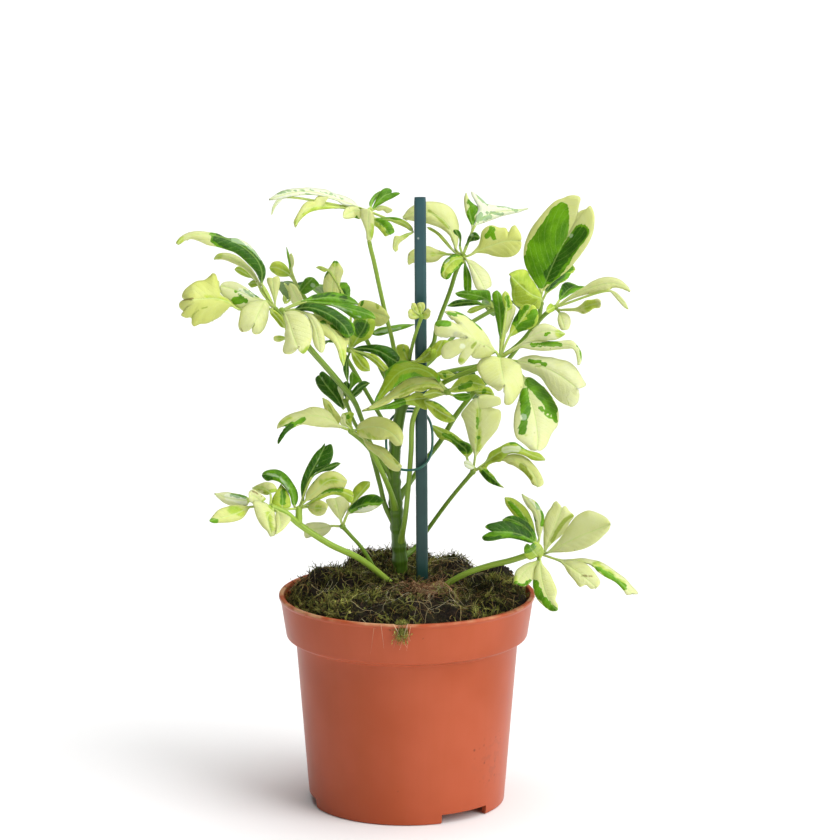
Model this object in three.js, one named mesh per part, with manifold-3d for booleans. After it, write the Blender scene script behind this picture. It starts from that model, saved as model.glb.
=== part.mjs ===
import * as THREE from 'three';
import { mergeVertices } from 'three/addons/utils/BufferGeometryUtils.js';
import Module from 'manifold-3d';

// A variegated umbrella plant in a 12 cm nursery pot: millimetres, +Z up, the pot's axis at x = 0, y = 0
// while it is built, and the finished plant moved so that its box stands centred on the origin.
// -Y is the side that faces a viewer.

// Driving dimensions of the pot.
const RIM_RADIUS = 60;
const POT_HEIGHT = 100.5;
const BAND_LOW_Z = 80.6;
const BAND_LOW_RADIUS = 57;
const BODY_TOP_RADIUS = 52.6;
const FOOT_RADIUS = 46.3;
const FOOT_RING = 2.6;
const WALL = 1.6;
const FLOOR_Z = 5;
const FOOT_NOTCHES = { count: 3, first: 37, width: 26, height: 4.4 };
const DRAINS = { count: 6, radius: 4.5, onRadius: 28 };

// Soil and moss: a dome that is a little higher at the back, under a mat of seeded clumps.
const GAP = 0.3;
const SOIL_EDGE_Z = 95;
const SOIL_RADIUS = 55;
const SOIL_DOME = 12;
const SOIL_TILT = 0.06;
const MOSS_RADIUS = 56.8;
const MOSS_EDGE_TAPER = 1.2;
const MOSS_THIN = 1.2;
const CLUMPS = { count: 46, seed: 7, low: 2.5, high: 7.5, narrow: 7, wide: 12 };
const GROUND_RINGS = 5;
const GROUND_SECTORS = 24;

// Main stem, cane and tie ring.
const STEM_PATH = [
  [-2, 6, 80], [-3, 6, 112], [-5, 5, 139], [-6, 4, 158], [-5, 5, 174], [-2, 5, 192], [1, 5, 211]
];
const STEM_FOOT_RADIUS = 3.9;
const STEM_TOP_RADIUS = 2.4;
const CANE = { width: 5.6, depth: 4.6, corner: 1.2, foot: [7.7, -4, 24], top: [6.2, -4, 290] };
const RING = {
  centre: [1.05, -0.6, 174.6], across: 10.6, reach: [9.4, 12.4], wire: 0.6, turns: 1.16, lift: 1.6,
};

// Leaf blades.
const BLADE = 0.7;
const PETIOLULE = 0.14;
const LEAST_HALF = 0.6;
const HUB_RADIUS = 2.1;
const HUB_SINK = 1.1;
const FINE = 0.1;
const STALK_SIDES = 5;

// Directions that the upper face of a leaflet looks in.
const UP = [0, -0.3, 1];
const UP_FRONT = [0, -0.8, 1];
const UP_RIGHT = [0.5, -0.6, 1];
const FRONT = [0, -1, 0.3];
const FRONT_LEFT = [-0.5, -1, 0.4];
const FRONT_RIGHT = [0.5, -1, 0.4];

// Outlines: how round the tip is, its width against the widest place, where that lies along the leaflet,
// the notches as [place across, depth, half-width], and the lines across that show them.
const FORMS = {
  plain: { round: 0.3, tip: 0.8, wide: 0.62, notches: [], across: [-1, -0.5, 0, 0.5, 1] },
  strap: { round: 0.12, tip: 0.45, wide: 0.5, notches: [], across: [-1, 0, 1] },
  nicked: { round: 0.26, tip: 0.9, wide: 0.66, notches: [[0, 0.1, 0.3]], across: [-1, -0.35, 0, 0.35, 1] },
  forked: { round: 0.22, tip: 1, wide: 0.75, notches: [[0, 0.3, 0.34]], across: [-1, -0.34, 0, 0.34, 1] },
  hooked: {
    round: 0.4, tip: 0.95, wide: 0.72, notches: [[0.4, 0.28, 0.3]],
    across: [-1, -0.5, 0, 0.4, 0.7, 1],
  },
  lobed3: {
    round: 0.3, tip: 1, wide: 0.7, notches: [[-0.4, 0.22, 0.25], [0.4, 0.22, 0.25]],
    across: [-1, -0.7, -0.4, 0, 0.4, 0.7, 1],
  },
  lobed4: {
    round: 0.18, tip: 1.05, wide: 0.78, notches: [[-0.5, 0.15, 0.22], [0, 0.18, 0.22], [0.5, 0.15, 0.22]],
    across: [-1, -0.75, -0.5, -0.25, 0, 0.25, 0.5, 0.75, 1],
  },
};

// One palmate leaf a row: name and stalk radius, the stalk's points from its foot to the hub, its leaflets.
// A leaflet is tip, width, arch, sway, face, outline and how far its sides curl up, in radians.
const FRONDS = [
  [['leaf_top_left', 1.1], [206, [-6, 4, 222], [-10, 2, 235], [-14, 3, 252], [-17, 5, 269], [-18, 6, 282]], [
    [[-65, -6, 288], 12, 8, 0, [-0.2, -0.7, 1], 'forked', 0.5],
    [[-52, -16, 277], 13, 8, 0, [-0.4, -0.7, 1], 'plain', 0.5],
    [[-29, -10, 281], 8, 2, 0, UP_FRONT, 'plain', 0.3],
    [[-18, -14, 271], 6, 2, 0, FRONT, 'plain', 0.4],
    [[-6, 14, 292], 12, 0, 0, FRONT, 'forked', 0.3],
    [[-13, 20, 290], 4, 0, 0, FRONT, 'plain', 0.3],
    [[-9, -12, 273], 8, 3, 0, UP_RIGHT, 'plain', 0.4],
    [[1, -4, 270], 15, 6, 0, [0.3, -0.8, 1], 'lobed3', 0.4],
  ]],
  [['leaf_top_right', 1.1], [205, [8, 9, 215], [15, 10, 226], [20, 12, 243], [24, 14, 256], [25, 14, 260]], [
    [[-2, 24, 278], 11, 14, 0, [0.5, -0.5, 0.8], 'nicked', 0.4],
    [[2, 24, 268], 7, 4, 0, [0.1, -0.5, 1], 'plain', 0.3],
    [[0, 18, 255], 8, 3, 0, UP_FRONT, 'nicked', 0.4],
    [[18, 0, 251], 6, 6, 0, [-0.8, -0.5, 0.6], 'plain', 0.6],
    [[23, 6, 273], 5, 0, 0, FRONT, 'plain', 0.3],
    [[31, 4, 273], 7, 0, 0, FRONT, 'plain', 0.3],
    [[28, 24, 288], 7, 0, 0, FRONT, 'plain', 0.2],
    [[45, 30, 285], 25, 3, 0, FRONT, 'forked', 0.6],
    [[54, 8, 269], 15, 2, 0, FRONT, 'nicked', 0.3],
    [[28, 4, 245], 4, 1, 0, FRONT, 'strap', 0.3],
    [[40, -4, 247], 9, 2, 0, FRONT_RIGHT, 'plain', 0.4],
  ]],
  [['leaf_back_right', 1.0], [201, [11, 20, 208], [26, 34, 221], [41, 42, 229]], [
    [[22, 36, 238], 6, 1, 0, FRONT, 'plain', 0.3],
    [[18, 44, 231], 6, 1, 0, FRONT, 'plain', 0.3],
    [[44, 82, 218], 14, 6, 0, [0, 0.6, 1], 'nicked', 0.3],
    [[57, 72, 222], 13, 5, 0, [0.4, 0.5, 1], 'plain', 0.3],
  ]],
  [['leaf_right_back', 1.1], [
    197, [16, 16, 203], [39, 18, 208], [53, 18, 217], [62, 16, 230], [63, 14, 237]
  ], [
    [[83, 24, 285], 27, 0, -3, [-0.3, -1, 0.2], 'forked', 0.35],
    [[46, 2, 252], 14, 4, 0, [0.2, -1, 0.6], 'plain', 0.9],
    [[76, 52, 250], 13, 4, 0, [0.4, 0.3, 1], 'nicked', 0.3],
  ]],
  [['leaf_right', 1.0], [191, [16, 10, 195], [39, 8, 203], [55, 2, 222], [64, -1, 234], [69, -2, 238]], [
    [[105, -12, 244], 11, 9, 0, UP_FRONT, 'forked', 0.5],
    [[90, -24, 242], 8, 3, 0, UP_FRONT, 'plain', 0.3],
    [[81, -28, 238], 5, 2, 0, UP_FRONT, 'plain', 0.3],
    [[72, -18, 230], 7, 2, 0, FRONT, 'plain', 0.4],
    [[64, -20, 240], 4, 1, 0, UP_FRONT, 'plain', 0.3],
    [[82, 30, 242], 9, 4, 0, [0.3, 0.2, 1], 'plain', 0.3],
  ]],
  [['leaf_front_right', 1.2], [
    122, [-1, -1, 136], [1, -3, 156], [2, -4, 170], [3, -7, 186], [8, -12, 197], [18, -18, 206],
    [32, -23, 213], [43, -28, 219]
  ], [
    [[42, -14, 249], 6, 0, 0, FRONT, 'plain', 0.3],
    [[48, -20, 243], 4, 0, 0, FRONT, 'plain', 0.3],
    [[58, -24, 244], 12, 2, 0, FRONT, 'nicked', 0.3],
    [[13, -46, 236], 25, 4, 0, [-0.1, -1, 0.7], 'lobed3', 0.4],
    [[41, -60, 203], 20, 4, 0, FRONT, 'forked', 0.4],
    [[73, -34, 231], 10, 8, 0, [0, -0.7, 1], 'plain', 0.4],
    [[80, -44, 221], 11, 9, 0, [0.1, -0.7, 1], 'plain', 0.5],
    [[81, -54, 206], 23, 9, 0, [0.4, -1, 0.6], 'lobed3', 0.4],
    [[58, -70, 185], 20, 5, 0, [0.2, -1, 0.3], 'nicked', 0.4],
  ]],
  [['leaf_crown', 1.3], [202, [-1, -4, 207], [0, -12, 211], [1, -15, 213]], [
    [[-15, -32, 198], 18, 5, 0, [-0.1, -0.9, 0.8], 'plain', 0.4],
    [[-21, -24, 193], 9, 4, 0, [-0.2, -0.8, 0.8], 'plain', 0.4],
    [[23, -38, 192], 9, 5, 0, [0.3, -0.9, 0.8], 'plain', 0.4],
    [[-4, -8, 222], 7, 1, 0, FRONT, 'plain', 0.4],
    [[16, -22, 229], 10, 1, 0, FRONT, 'nicked', 0.4],
    [[37, -38, 204], 13, 5, 0, [0.1, -0.9, 1], 'nicked', 0.4],
    [[18, -42, 205], 9, 5, 0, [0.2, -0.6, 1], 'plain', 0.4],
  ]],
  [['leaf_young', 0.8], [208, [2, -6, 218], [4, -13, 227], [7, -15, 236]], [
    [[0, -18, 242], 6, 2, 0, [-0.3, -1, 0.2], 'plain', 1.0],
    [[5, -14, 244], 7, 1, 0, FRONT, 'plain', 1.0],
    [[11, -18, 240], 6, 2, 0, [0.4, -1, 0.2], 'plain', 1.0],
  ]],
  [['leaf_left', 1.3], [
    131, [-11, 7, 144], [-15, 9, 162], [-21, 11, 179], [-31, 10, 199], [-46, 7, 216], [-57, 4, 229],
    [-66, 0, 241]
  ], [
    [[-107, -8, 267], 15, 17, 0, [0.3, -0.6, 1], 'nicked', 0.5],
    [[-91, 14, 258], 7, 6, 0, UP, 'plain', 0.4],
    [[-81, 24, 252], 5, 3, 0, UP, 'plain', 0.4],
    [[-104, -18, 242], 21, 3, 0, [-0.2, -1, 0.4], 'lobed4', 0.5],
    [[-88, 8, 246], 10, 3, 0, UP_FRONT, 'nicked', 0.3],
    [[-73, -16, 228], 11, 2, 0, FRONT, 'forked', 0.3],
  ]],
  [['leaf_left_front', 1.2], [
    158, [-14, -2, 175], [-27, -8, 196], [-41, -13, 219], [-51, -15, 233], [-57, -15, 240]
  ], [
    [[-23, -8, 242], 9, 6, 0, UP_FRONT, 'plain', 0.5],
    [[-14, -20, 236], 8, 7, 0, UP_FRONT, 'plain', 0.5],
    [[-26, -30, 229], 9, 7, 0, UP_FRONT, 'plain', 0.5],
    [[-46, -38, 222], 19, 3, 0, FRONT, 'lobed3', 0.3],
    [[-29, -40, 219], 11, 9, 0, [0.6, -0.8, 0.6], 'forked', 0.4],
  ]],
  [['leaf_left_upper', 1.0], [189, [-9, 14, 199], [-18, 12, 218], [-26, 8, 235]], [
    [[-34, 14, 258], 8, 0, 0, FRONT, 'nicked', 0.3],
    [[-10, -2, 239], 13, 3, 0, FRONT, 'nicked', 0.3],
    [[-17, -10, 224], 8, 2, 0, FRONT, 'plain', 0.4],
    [[-36, 34, 242], 10, 4, 0, UP, 'plain', 0.3],
  ]],
  [['leaf_left_back', 1.0], [172, [-17, 22, 189], [-34, 32, 216], [-51, 32, 240]], [
    [[-65, 36, 252], 8, 1, 0, FRONT, 'plain', 0.3],
    [[-57, 32, 261], 4, 1, 0, FRONT, 'strap', 0.3],
    [[-41, 24, 246], 8, 2, 0, FRONT, 'plain', 0.3],
    [[-65, 18, 242], 6, 2, 0, FRONT, 'plain', 0.3],
    [[-56, 70, 228], 15, 6, 0, [0, 0.6, 1], 'nicked', 0.3],
    [[-38, 64, 229], 13, 5, 0, [0.3, 0.5, 1], 'plain', 0.3],
  ]],
  [['leaf_middle_left', 1.0], [196, [-10, 6, 206], [-19, 0, 215], [-27, -3, 218]], [
    [[-3, -18, 215], 10, 4, 0, UP_FRONT, 'plain', 0.4],
    [[3, 22, 224], 5, 5, 0, UP, 'strap', 0.3],
    [[-16, -20, 209], 7, 2, 0, FRONT, 'plain', 0.4],
    [[-8, -8, 209], 4, 1, 0, FRONT, 'strap', 0.3],
    [[-26, -16, 204], 5, 3, 0, [-1, -0.6, 0.3], 'plain', 0.4],
    [[-41, 24, 214], 10, 4, 0, UP, 'plain', 0.3],
  ]],
  [['leaf_middle_back', 0.9], [153, [-14, 14, 165], [-24, 20, 177], [-29, 20, 189]], [
    [[-41, 26, 203], 10, 2, 0, FRONT_LEFT, 'plain', 0.3],
    [[-29, 30, 197], 5, 1, 0, FRONT, 'plain', 0.3],
    [[-16, 16, 198], 4, 1, 0, FRONT, 'plain', 0.3],
    [[-24, 34, 201], 4, 1, 0, FRONT, 'plain', 0.3],
    [[-27, 50, 184], 12, 4, 0, [0, 0.6, 1], 'plain', 0.3],
  ]],
  [['leaf_middle_front', 1.2], [139, [-8, -3, 151], [-13, -9, 164], [-18, -13, 174], [-26, -15, 182]], [
    [[-61, -22, 182], 10, 10, 0, [-0.1, -0.7, 1], 'forked', 0.5],
    [[-40, -6, 196], 5, 0, 0, FRONT, 'plain', 0.3],
    [[-39, -2, 184], 8, 1, 0, FRONT, 'nicked', 0.6],
    [[-30, -24, 194], 6, 1, 0, FRONT, 'plain', 0.4],
    [[-2, -34, 178], 13, 6, 0, UP_FRONT, 'nicked', 0.4],
    [[-9, -32, 173], 9, 3, 0, FRONT_RIGHT, 'plain', 0.4],
    [[-3, -26, 166], 6, 5, 0, [0.5, -0.8, 0.8], 'plain', 0.4],
  ]],
  [['shoot_left', 1.5], [
    [-2, -3, 100], [-8, -6, 107], [-22, -16, 121], [-36, -24, 130], [-50, -30, 141], [-56, -33, 147],
    [-63, -34, 150]
  ], [
    [[-91, -46, 146], 13, 2, 0, [-0.1, -1, 0.6], 'nicked', 0.4],
    [[-90, -28, 156], 6, 2, 0, UP_FRONT, 'plain', 0.3],
    [[-73, -20, 157], 8, 2, 0, FRONT, 'plain', 0.7],
    [[-62, -58, 141], 17, 3, 0, FRONT, 'nicked', 0.4],
    [[-57, -20, 159], 9, 1, 0, FRONT, 'plain', 0.3],
  ]],
  [['shoot_left', 1.2], [[-50, -30, 141], [-50, -29, 145], [-50, -28, 148]], [
    [[-68, -16, 162], 9, 8, 0, [0.2, -0.8, 1], 'plain', 0.4],
    [[-34, -22, 177], 17, 0, 1, FRONT, 'hooked', 0.3],
    [[-26, -32, 162], 11, 3, 0, [0, -1, 0.7], 'nicked', 0.4],
    [[-34, -44, 156], 8, 2, 0, UP_FRONT, 'plain', 0.4],
    [[-33, -48, 147], 5, 2, 0, UP_FRONT, 'strap', 0.3],
  ]],
  [['leaf_low_left', 0.9], [[-9, 3, 97], [-15, -2, 112], [-21, -8, 124], [-27, -12, 132], [-30, -14, 136]], [
    [[-38, -2, 149], 9, 2, 0, FRONT, 'plain', 0.4],
    [[-10, -24, 151], 8, 4, 0, UP_FRONT, 'plain', 0.4],
    [[-12, -8, 158], 9, 2, 0, FRONT, 'nicked', 0.4],
    [[-49, -6, 130], 7, 2, 0, FRONT, 'plain', 0.3],
  ]],
  [['leaf_middle_right', 1.2], [
    143, [4, 12, 155], [10, 14, 163], [16, 14, 171], [23, 14, 183], [32, 14, 195]
  ], [
    [[41, 7, 198], 5, 2, 0, UP_FRONT, 'plain', 0.6],
    [[46, 5, 192], 9, 2, 0, FRONT, 'lobed3', 0.4],
    [[24, 28, 201], 11, 3, 0, UP, 'plain', 0.3],
    [[50, 44, 193], 14, 4, 0, UP, 'nicked', 0.3],
    [[35, 52, 182], 12, 4, 0, [0, 0.6, 1], 'plain', 0.3],
  ]],
  [['leaf_low_right', 1.2], [115, [4, 10, 120], [10, 10, 129], [20, 6, 144], [31, 0, 159]], [
    [[38, -3, 194], 18, 1, 0, FRONT, 'nicked', 0.4],
    [[10, 10, 180], 8, 4, 0, [0.3, -0.8, 1], 'plain', 0.4],
    [[26, -14, 167], 4, 1, 0, FRONT, 'plain', 0.4],
    [[45, -18, 155], 7, 3, 0, UP_RIGHT, 'plain', 0.4],
    [[66, -8, 166], 8, 9, 0, [0.2, -0.6, 1], 'plain', 0.4],
    [[62, -22, 156], 10, 11, 0, [0.4, -0.8, 1], 'nicked', 0.4],
  ]],
  [['shoot_right', 1.4], [
    [10, -12, 99], [16, -14, 106], [27, -18, 114], [39, -21, 119], [49, -23, 122], [60, -24, 126]
  ], [
    [[34, -34, 138], 12, 5, 0, [-0.2, -0.9, 0.8], 'forked', 0.4],
    [[45, -8, 141], 9, 2, 0, UP_FRONT, 'plain', 0.4],
    [[48, 4, 147], 14, 2, 0, FRONT, 'nicked', 0.4],
    [[54, -18, 153], 10, 1, 0, FRONT, 'plain', 0.4],
    [[75, -14, 149], 14, 1, 0, FRONT, 'nicked', 0.4],
    [[96, -34, 141], 19, 3, 0, [0.1, -1, 0.6], 'nicked', 0.4],
    [[86, -52, 114], 14, 3, 0, FRONT_RIGHT, 'forked', 0.4],
    [[108, -36, 108], 9, 8, 0, [0.3, -0.7, 1], 'plain', 0.4],
    [[51, -46, 115], 10, 2, 0, FRONT, 'plain', 0.4],
    [[68, -60, 106], 12, 3, 0, FRONT, 'plain', 0.4],
    [[54, -40, 126], 5, 2, 0, FRONT, 'plain', 0.7],
  ]],
];

// Colours.
const COLOURS = {
  pot: '#b4593b',
  soil: '#2a2118',
  moss: '#7c8040',
  stem: '#7d9a45',
  cane: '#27504b',
  ring: '#1f4f43',
  leaf: '#b9cf74',
};

const wasm = await Module();
wasm.setup();

function vector(point) {
  return new THREE.Vector3(...point);
}

// Geometry with merged corners and no collapsed triangles.
function welded(geometry) {
  const bare = geometry.clone();
  bare.deleteAttribute('normal');
  bare.deleteAttribute('uv');
  const merged = mergeVertices(bare, 1e-4);
  const corners = merged.index.array;
  const kept = [];
  for (let i = 0; i < corners.length; i += 3) {
    const [a, b, c] = [corners[i], corners[i + 1], corners[i + 2]];
    if (a !== b && b !== c && c !== a) kept.push(a, b, c);
  }
  merged.setIndex(kept);
  return merged;
}

function solid(geometry) {
  const merged = welded(geometry);
  const mesh = new wasm.Mesh({
    numProp: 3,
    vertProperties: new Float32Array(merged.attributes.position.array),
    triVerts: new Uint32Array(merged.index.array),
  });
  return new wasm.Manifold(mesh);
}

// The pieces joined, with no loose scrap or sealed void.
function joined(pieces) {
  const bodies = wasm.Manifold.union(pieces).asOriginal().simplify(FINE).decompose();
  return bodies.reduce((most, body) => (body.volume() > most.volume() ? body : most));
}

function geometryOf(body) {
  const mesh = body.getMesh();
  const geometry = new THREE.BufferGeometry();
  geometry.setAttribute('position', new THREE.BufferAttribute(new Float32Array(mesh.vertProperties), 3));
  geometry.setIndex(new THREE.BufferAttribute(new Uint32Array(mesh.triVerts), 1));
  geometry.computeVertexNormals();
  return geometry;
}

function meshOf(name, body, colour, roughness = 0.6) {
  const mesh = new THREE.Mesh(geometryOf(body), new THREE.MeshStandardMaterial({ color: colour, roughness }));
  mesh.name = name;
  return mesh;
}

function indexed(points, triangles) {
  const geometry = new THREE.BufferGeometry();
  geometry.setAttribute('position', new THREE.Float32BufferAttribute(points.flat(), 3));
  geometry.setIndex(triangles);
  return geometry;
}

// Seeded random numbers from 0 to 1.
function seeded(seed) {
  let state = seed;
  return () => {
    state = (state + 0x6d2b79f5) | 0;
    let value = Math.imul(state ^ (state >>> 15), 1 | state);
    value = (value + Math.imul(value ^ (value >>> 7), 61 | value)) ^ value;
    return ((value ^ (value >>> 14)) >>> 0) / 4294967296;
  };
}

// A round bar along a curve, closed at both ends, whose radius is a function of the way along it.
function bar(points, radiusAt, sides, steps) {
  const curve = new THREE.CatmullRomCurve3(points.map(vector));
  const frames = curve.computeFrenetFrames(steps, false);
  const corners = [];
  const triangles = [];
  for (let i = 0; i <= steps; i += 1) {
    const way = i / steps;
    const centre = curve.getPointAt(way);
    for (let j = 0; j < sides; j += 1) {
      const turn = (2 * Math.PI * j) / sides;
      const corner = centre.clone()
        .addScaledVector(frames.normals[i], radiusAt(way) * Math.cos(turn))
        .addScaledVector(frames.binormals[i], radiusAt(way) * Math.sin(turn));
      corners.push(corner.toArray());
    }
  }
  for (let i = 0; i < steps; i += 1) {
    for (let j = 0; j < sides; j += 1) {
      const a = i * sides + j;
      const b = i * sides + ((j + 1) % sides);
      triangles.push(a, b, b + sides, a, b + sides, a + sides);
    }
  }
  const last = steps * sides;
  for (let j = 1; j < sides - 1; j += 1) {
    triangles.push(0, j + 1, j, last, last + j, last + j + 1);
  }
  return indexed(corners, triangles);
}

// Pot: thin walls, a deeper rim band with a rounded lip, a raised floor with drain holes, and a foot ring
// with three notches.
function potBody() {
  const lip = 0.7;
  const shelf = 1.6;
  const inner = [
    [RIM_RADIUS - WALL - 0.4, POT_HEIGHT - lip],
    [BAND_LOW_RADIUS - WALL, BAND_LOW_Z + WALL],
    [BODY_TOP_RADIUS - WALL, BAND_LOW_Z - shelf + WALL],
    [FOOT_RADIUS + 0.5 - WALL, FLOOR_Z + WALL],
    [0, FLOOR_Z + WALL],
  ];
  const outer = [
    [0, FLOOR_Z],
    [FOOT_RADIUS - FOOT_RING, FLOOR_Z],
    [FOOT_RADIUS - FOOT_RING, 0],
    [FOOT_RADIUS, 0],
    [BODY_TOP_RADIUS, BAND_LOW_Z - shelf],
    [BAND_LOW_RADIUS, BAND_LOW_Z],
    [RIM_RADIUS, POT_HEIGHT - 0.8],
    [RIM_RADIUS - 0.5, POT_HEIGHT],
    [RIM_RADIUS - WALL + 0.1, POT_HEIGHT],
  ];
  const profile = [...outer, ...inner].map(([r, z]) => new THREE.Vector2(r, z));
  let body = solid(new THREE.LatheGeometry(profile, 40).rotateX(Math.PI / 2));
  const { count, radius, onRadius } = DRAINS;
  for (let i = 0; i <= count; i += 1) {
    const drain = new THREE.CylinderGeometry(radius, radius, 3 * WALL, 10).rotateX(Math.PI / 2);
    const turn = (2 * Math.PI * i) / count;
    const out = i < count ? onRadius : 0;
    drain.translate(out * Math.cos(turn), out * Math.sin(turn), FLOOR_Z + WALL / 2);
    body = body.subtract(solid(drain));
  }
  for (let i = 0; i < FOOT_NOTCHES.count; i += 1) {
    const notch = new THREE.BoxGeometry(FOOT_NOTCHES.width, 4 * FOOT_RING, 2 * FOOT_NOTCHES.height);
    notch.translate(0, -FOOT_RADIUS, 0);
    notch.rotateZ(THREE.MathUtils.degToRad(FOOT_NOTCHES.first + (360 / FOOT_NOTCHES.count) * i));
    body = body.subtract(solid(notch));
  }
  return body;
}

// Height of the soil, and of the moss that lies on it.
function soilTop(x, y) {
  const out = Math.min(Math.hypot(x, y) / MOSS_RADIUS, 1);
  return SOIL_EDGE_Z + SOIL_DOME * (1 - out ** 3) + SOIL_TILT * y;
}

const clumps = [];
const random = seeded(CLUMPS.seed);
for (let i = 0; i < CLUMPS.count; i += 1) {
  const out = MOSS_RADIUS * (0.3 + 0.68 * Math.sqrt(random()));
  const turn = 2 * Math.PI * random();
  const size = random();
  clumps.push({
    x: out * Math.cos(turn),
    y: out * Math.sin(turn),
    high: CLUMPS.low + (CLUMPS.high - CLUMPS.low) * size * Math.min(out / 45, 1),
    wide: CLUMPS.narrow + (CLUMPS.wide - CLUMPS.narrow) * size,
  });
}

function mossTop(x, y) {
  let rise = 0;
  for (const clump of clumps) {
    const away = Math.hypot(x - clump.x, y - clump.y) / clump.wide;
    if (away < 1) rise = Math.max(rise, clump.high * (1 - away * away));
  }
  return soilTop(x, y) + GAP + MOSS_THIN + rise;
}

// A round body from rings [radius, height], the height a number or a function of x and y, listed from its
// top middle out, down its side and back to its middle underneath.
function ringed(rings, sectors) {
  const points = [];
  const triangles = [];
  for (const [radius, height] of rings) {
    for (let j = 0; j < sectors; j += 1) {
      const turn = (2 * Math.PI * j) / sectors;
      const x = radius * Math.cos(turn);
      const y = radius * Math.sin(turn);
      points.push([x, y, typeof height === 'function' ? height(x, y) : height]);
    }
  }
  for (let i = 0; i < rings.length - 1; i += 1) {
    for (let j = 0; j < sectors; j += 1) {
      const [a, d] = [i * sectors + j, i * sectors + ((j + 1) % sectors)];
      const [b, c] = [a + sectors, d + sectors];
      if (rings[i + 1][0] >= rings[i][0]) triangles.push(a, b, c, a, c, d);
      else triangles.push(a, b, d, b, c, d);
    }
  }
  return indexed(points, triangles);
}

function soilBody() {
  const rings = [];
  for (let i = 0; i <= GROUND_RINGS; i += 1) rings.push([(SOIL_RADIUS * i) / GROUND_RINGS, soilTop]);
  rings.push([BODY_TOP_RADIUS - WALL - 0.6, BAND_LOW_Z - 1]);
  rings.push([FOOT_RADIUS - WALL - 0.4, FLOOR_Z + WALL + GAP]);
  rings.push([0, FLOOR_Z + WALL + GAP]);
  return solid(ringed(rings, GROUND_SECTORS));
}

function mossBody() {
  const top = [];
  const under = [];
  for (let i = 0; i <= GROUND_RINGS; i += 1) {
    const radius = (SOIL_RADIUS * i) / GROUND_RINGS;
    top.push([radius, mossTop]);
    under.unshift([radius, (x, y) => soilTop(x, y) + GAP]);
  }
  const edge = [
    [MOSS_RADIUS, (x, y) => mossTop(x, y) - 0.5],
    [MOSS_RADIUS - MOSS_EDGE_TAPER, (x, y) => soilTop(x, y) + GAP],
  ];
  return solid(ringed([...top, ...edge, ...under], GROUND_SECTORS));
}

// The same points with both ends moved out by a distance.
function lengthened(points, distance) {
  const ends = points.map(vector);
  const last = ends.length - 1;
  ends[0].addScaledVector(vector(points[0]).sub(vector(points[1])).normalize(), distance);
  ends[last].addScaledVector(vector(points[last]).sub(vector(points[last - 1])).normalize(), distance);
  return ends.map((point) => point.toArray());
}

// Main stem: thick at its foot, thinner upward, with a swollen joint where each leaf leaves it.
function stemBody(spare) {
  const swell = (way) => 0.35 * Math.max(0, Math.sin(way * 9 * Math.PI)) ** 8;
  const taper = (way) => STEM_FOOT_RADIUS + (STEM_TOP_RADIUS - STEM_FOOT_RADIUS) * way ** 0.7;
  const radiusAt = (way) => taper(way) + swell(way) + spare;
  return solid(bar(lengthened(STEM_PATH, spare), radiusAt, 8, 18));
}

const stemCurve = new THREE.CatmullRomCurve3(STEM_PATH.map(vector));

// Point on the stem's axis at a height.
function stemAt(z) {
  let nearest = stemCurve.getPointAt(0);
  for (let way = 0; way <= 1; way += 0.004) {
    const point = stemCurve.getPointAt(way);
    if (Math.abs(point.z - z) < Math.abs(nearest.z - z)) nearest = point;
  }
  return nearest.toArray();
}

function caneBody(spare) {
  const { width, depth, corner, foot, top } = CANE;
  const [w, d] = [width / 2 + spare, depth / 2 + spare];
  const shape = new THREE.Shape();
  shape.moveTo(-w + corner, -d);
  shape.lineTo(w - corner, -d);
  shape.lineTo(w, -d + corner);
  shape.lineTo(w, d - corner);
  shape.lineTo(w - corner, d);
  shape.lineTo(-w + corner, d);
  shape.lineTo(-w, d - corner);
  shape.lineTo(-w, -d + corner);
  shape.closePath();
  const [low, high] = [vector(foot), vector(top)];
  const length = low.distanceTo(high) + 2 * spare;
  const geometry = new THREE.ExtrudeGeometry(shape, { depth: length, bevelEnabled: false });
  geometry.translate(0, 0, -spare);
  const along = high.clone().sub(low).normalize();
  const lean = new THREE.Quaternion().setFromUnitVectors(vector([0, 0, 1]), along);
  return solid(geometry.applyQuaternion(lean).translate(...foot));
}

// Tie ring: one wire wound a little over once round the stem and the cane, low in front, high behind.
function ringBody() {
  const { centre, across, reach, wire, turns, lift } = RING;
  const squared = (value) => Math.sign(value) * Math.abs(value) ** 0.8;
  const points = [];
  const steps = 34;
  for (let i = 0; i <= steps; i += 1) {
    const way = i / steps;
    const turn = -Math.PI / 2 - turns * Math.PI + 2 * Math.PI * turns * way;
    const spread = 1 + 0.05 * way;
    const [aside, out] = [squared(Math.cos(turn)), squared(Math.sin(turn))];
    points.push([
      centre[0] + across * spread * aside,
      centre[1] + reach[0] * spread * out,
      centre[2] + reach[1] * out + lift * (way - 0.5),
    ]);
  }
  return solid(bar(points, () => wire, 6, 44));
}

// How far a leaflet reaches along its midrib at a place across it, and how wide it is on the way.
function reachAt(form, across) {
  let reach = 1 - form.round * Math.abs(across) ** 2.4;
  for (const [place, depth, half] of form.notches) {
    reach -= depth * Math.max(0, 1 - Math.abs(across - place) / half);
  }
  return reach;
}

function widthAt(form, way) {
  const opening = THREE.MathUtils.clamp((way - PETIOLULE) / (form.wide - PETIOLULE), 0, 1);
  const closing = THREE.MathUtils.clamp((way - form.wide) / (1 - form.wide), 0, 1);
  return Math.sin((opening * Math.PI) / 2) ** 0.9 * (1 - (1 - form.tip) * closing ** 2);
}

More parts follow.
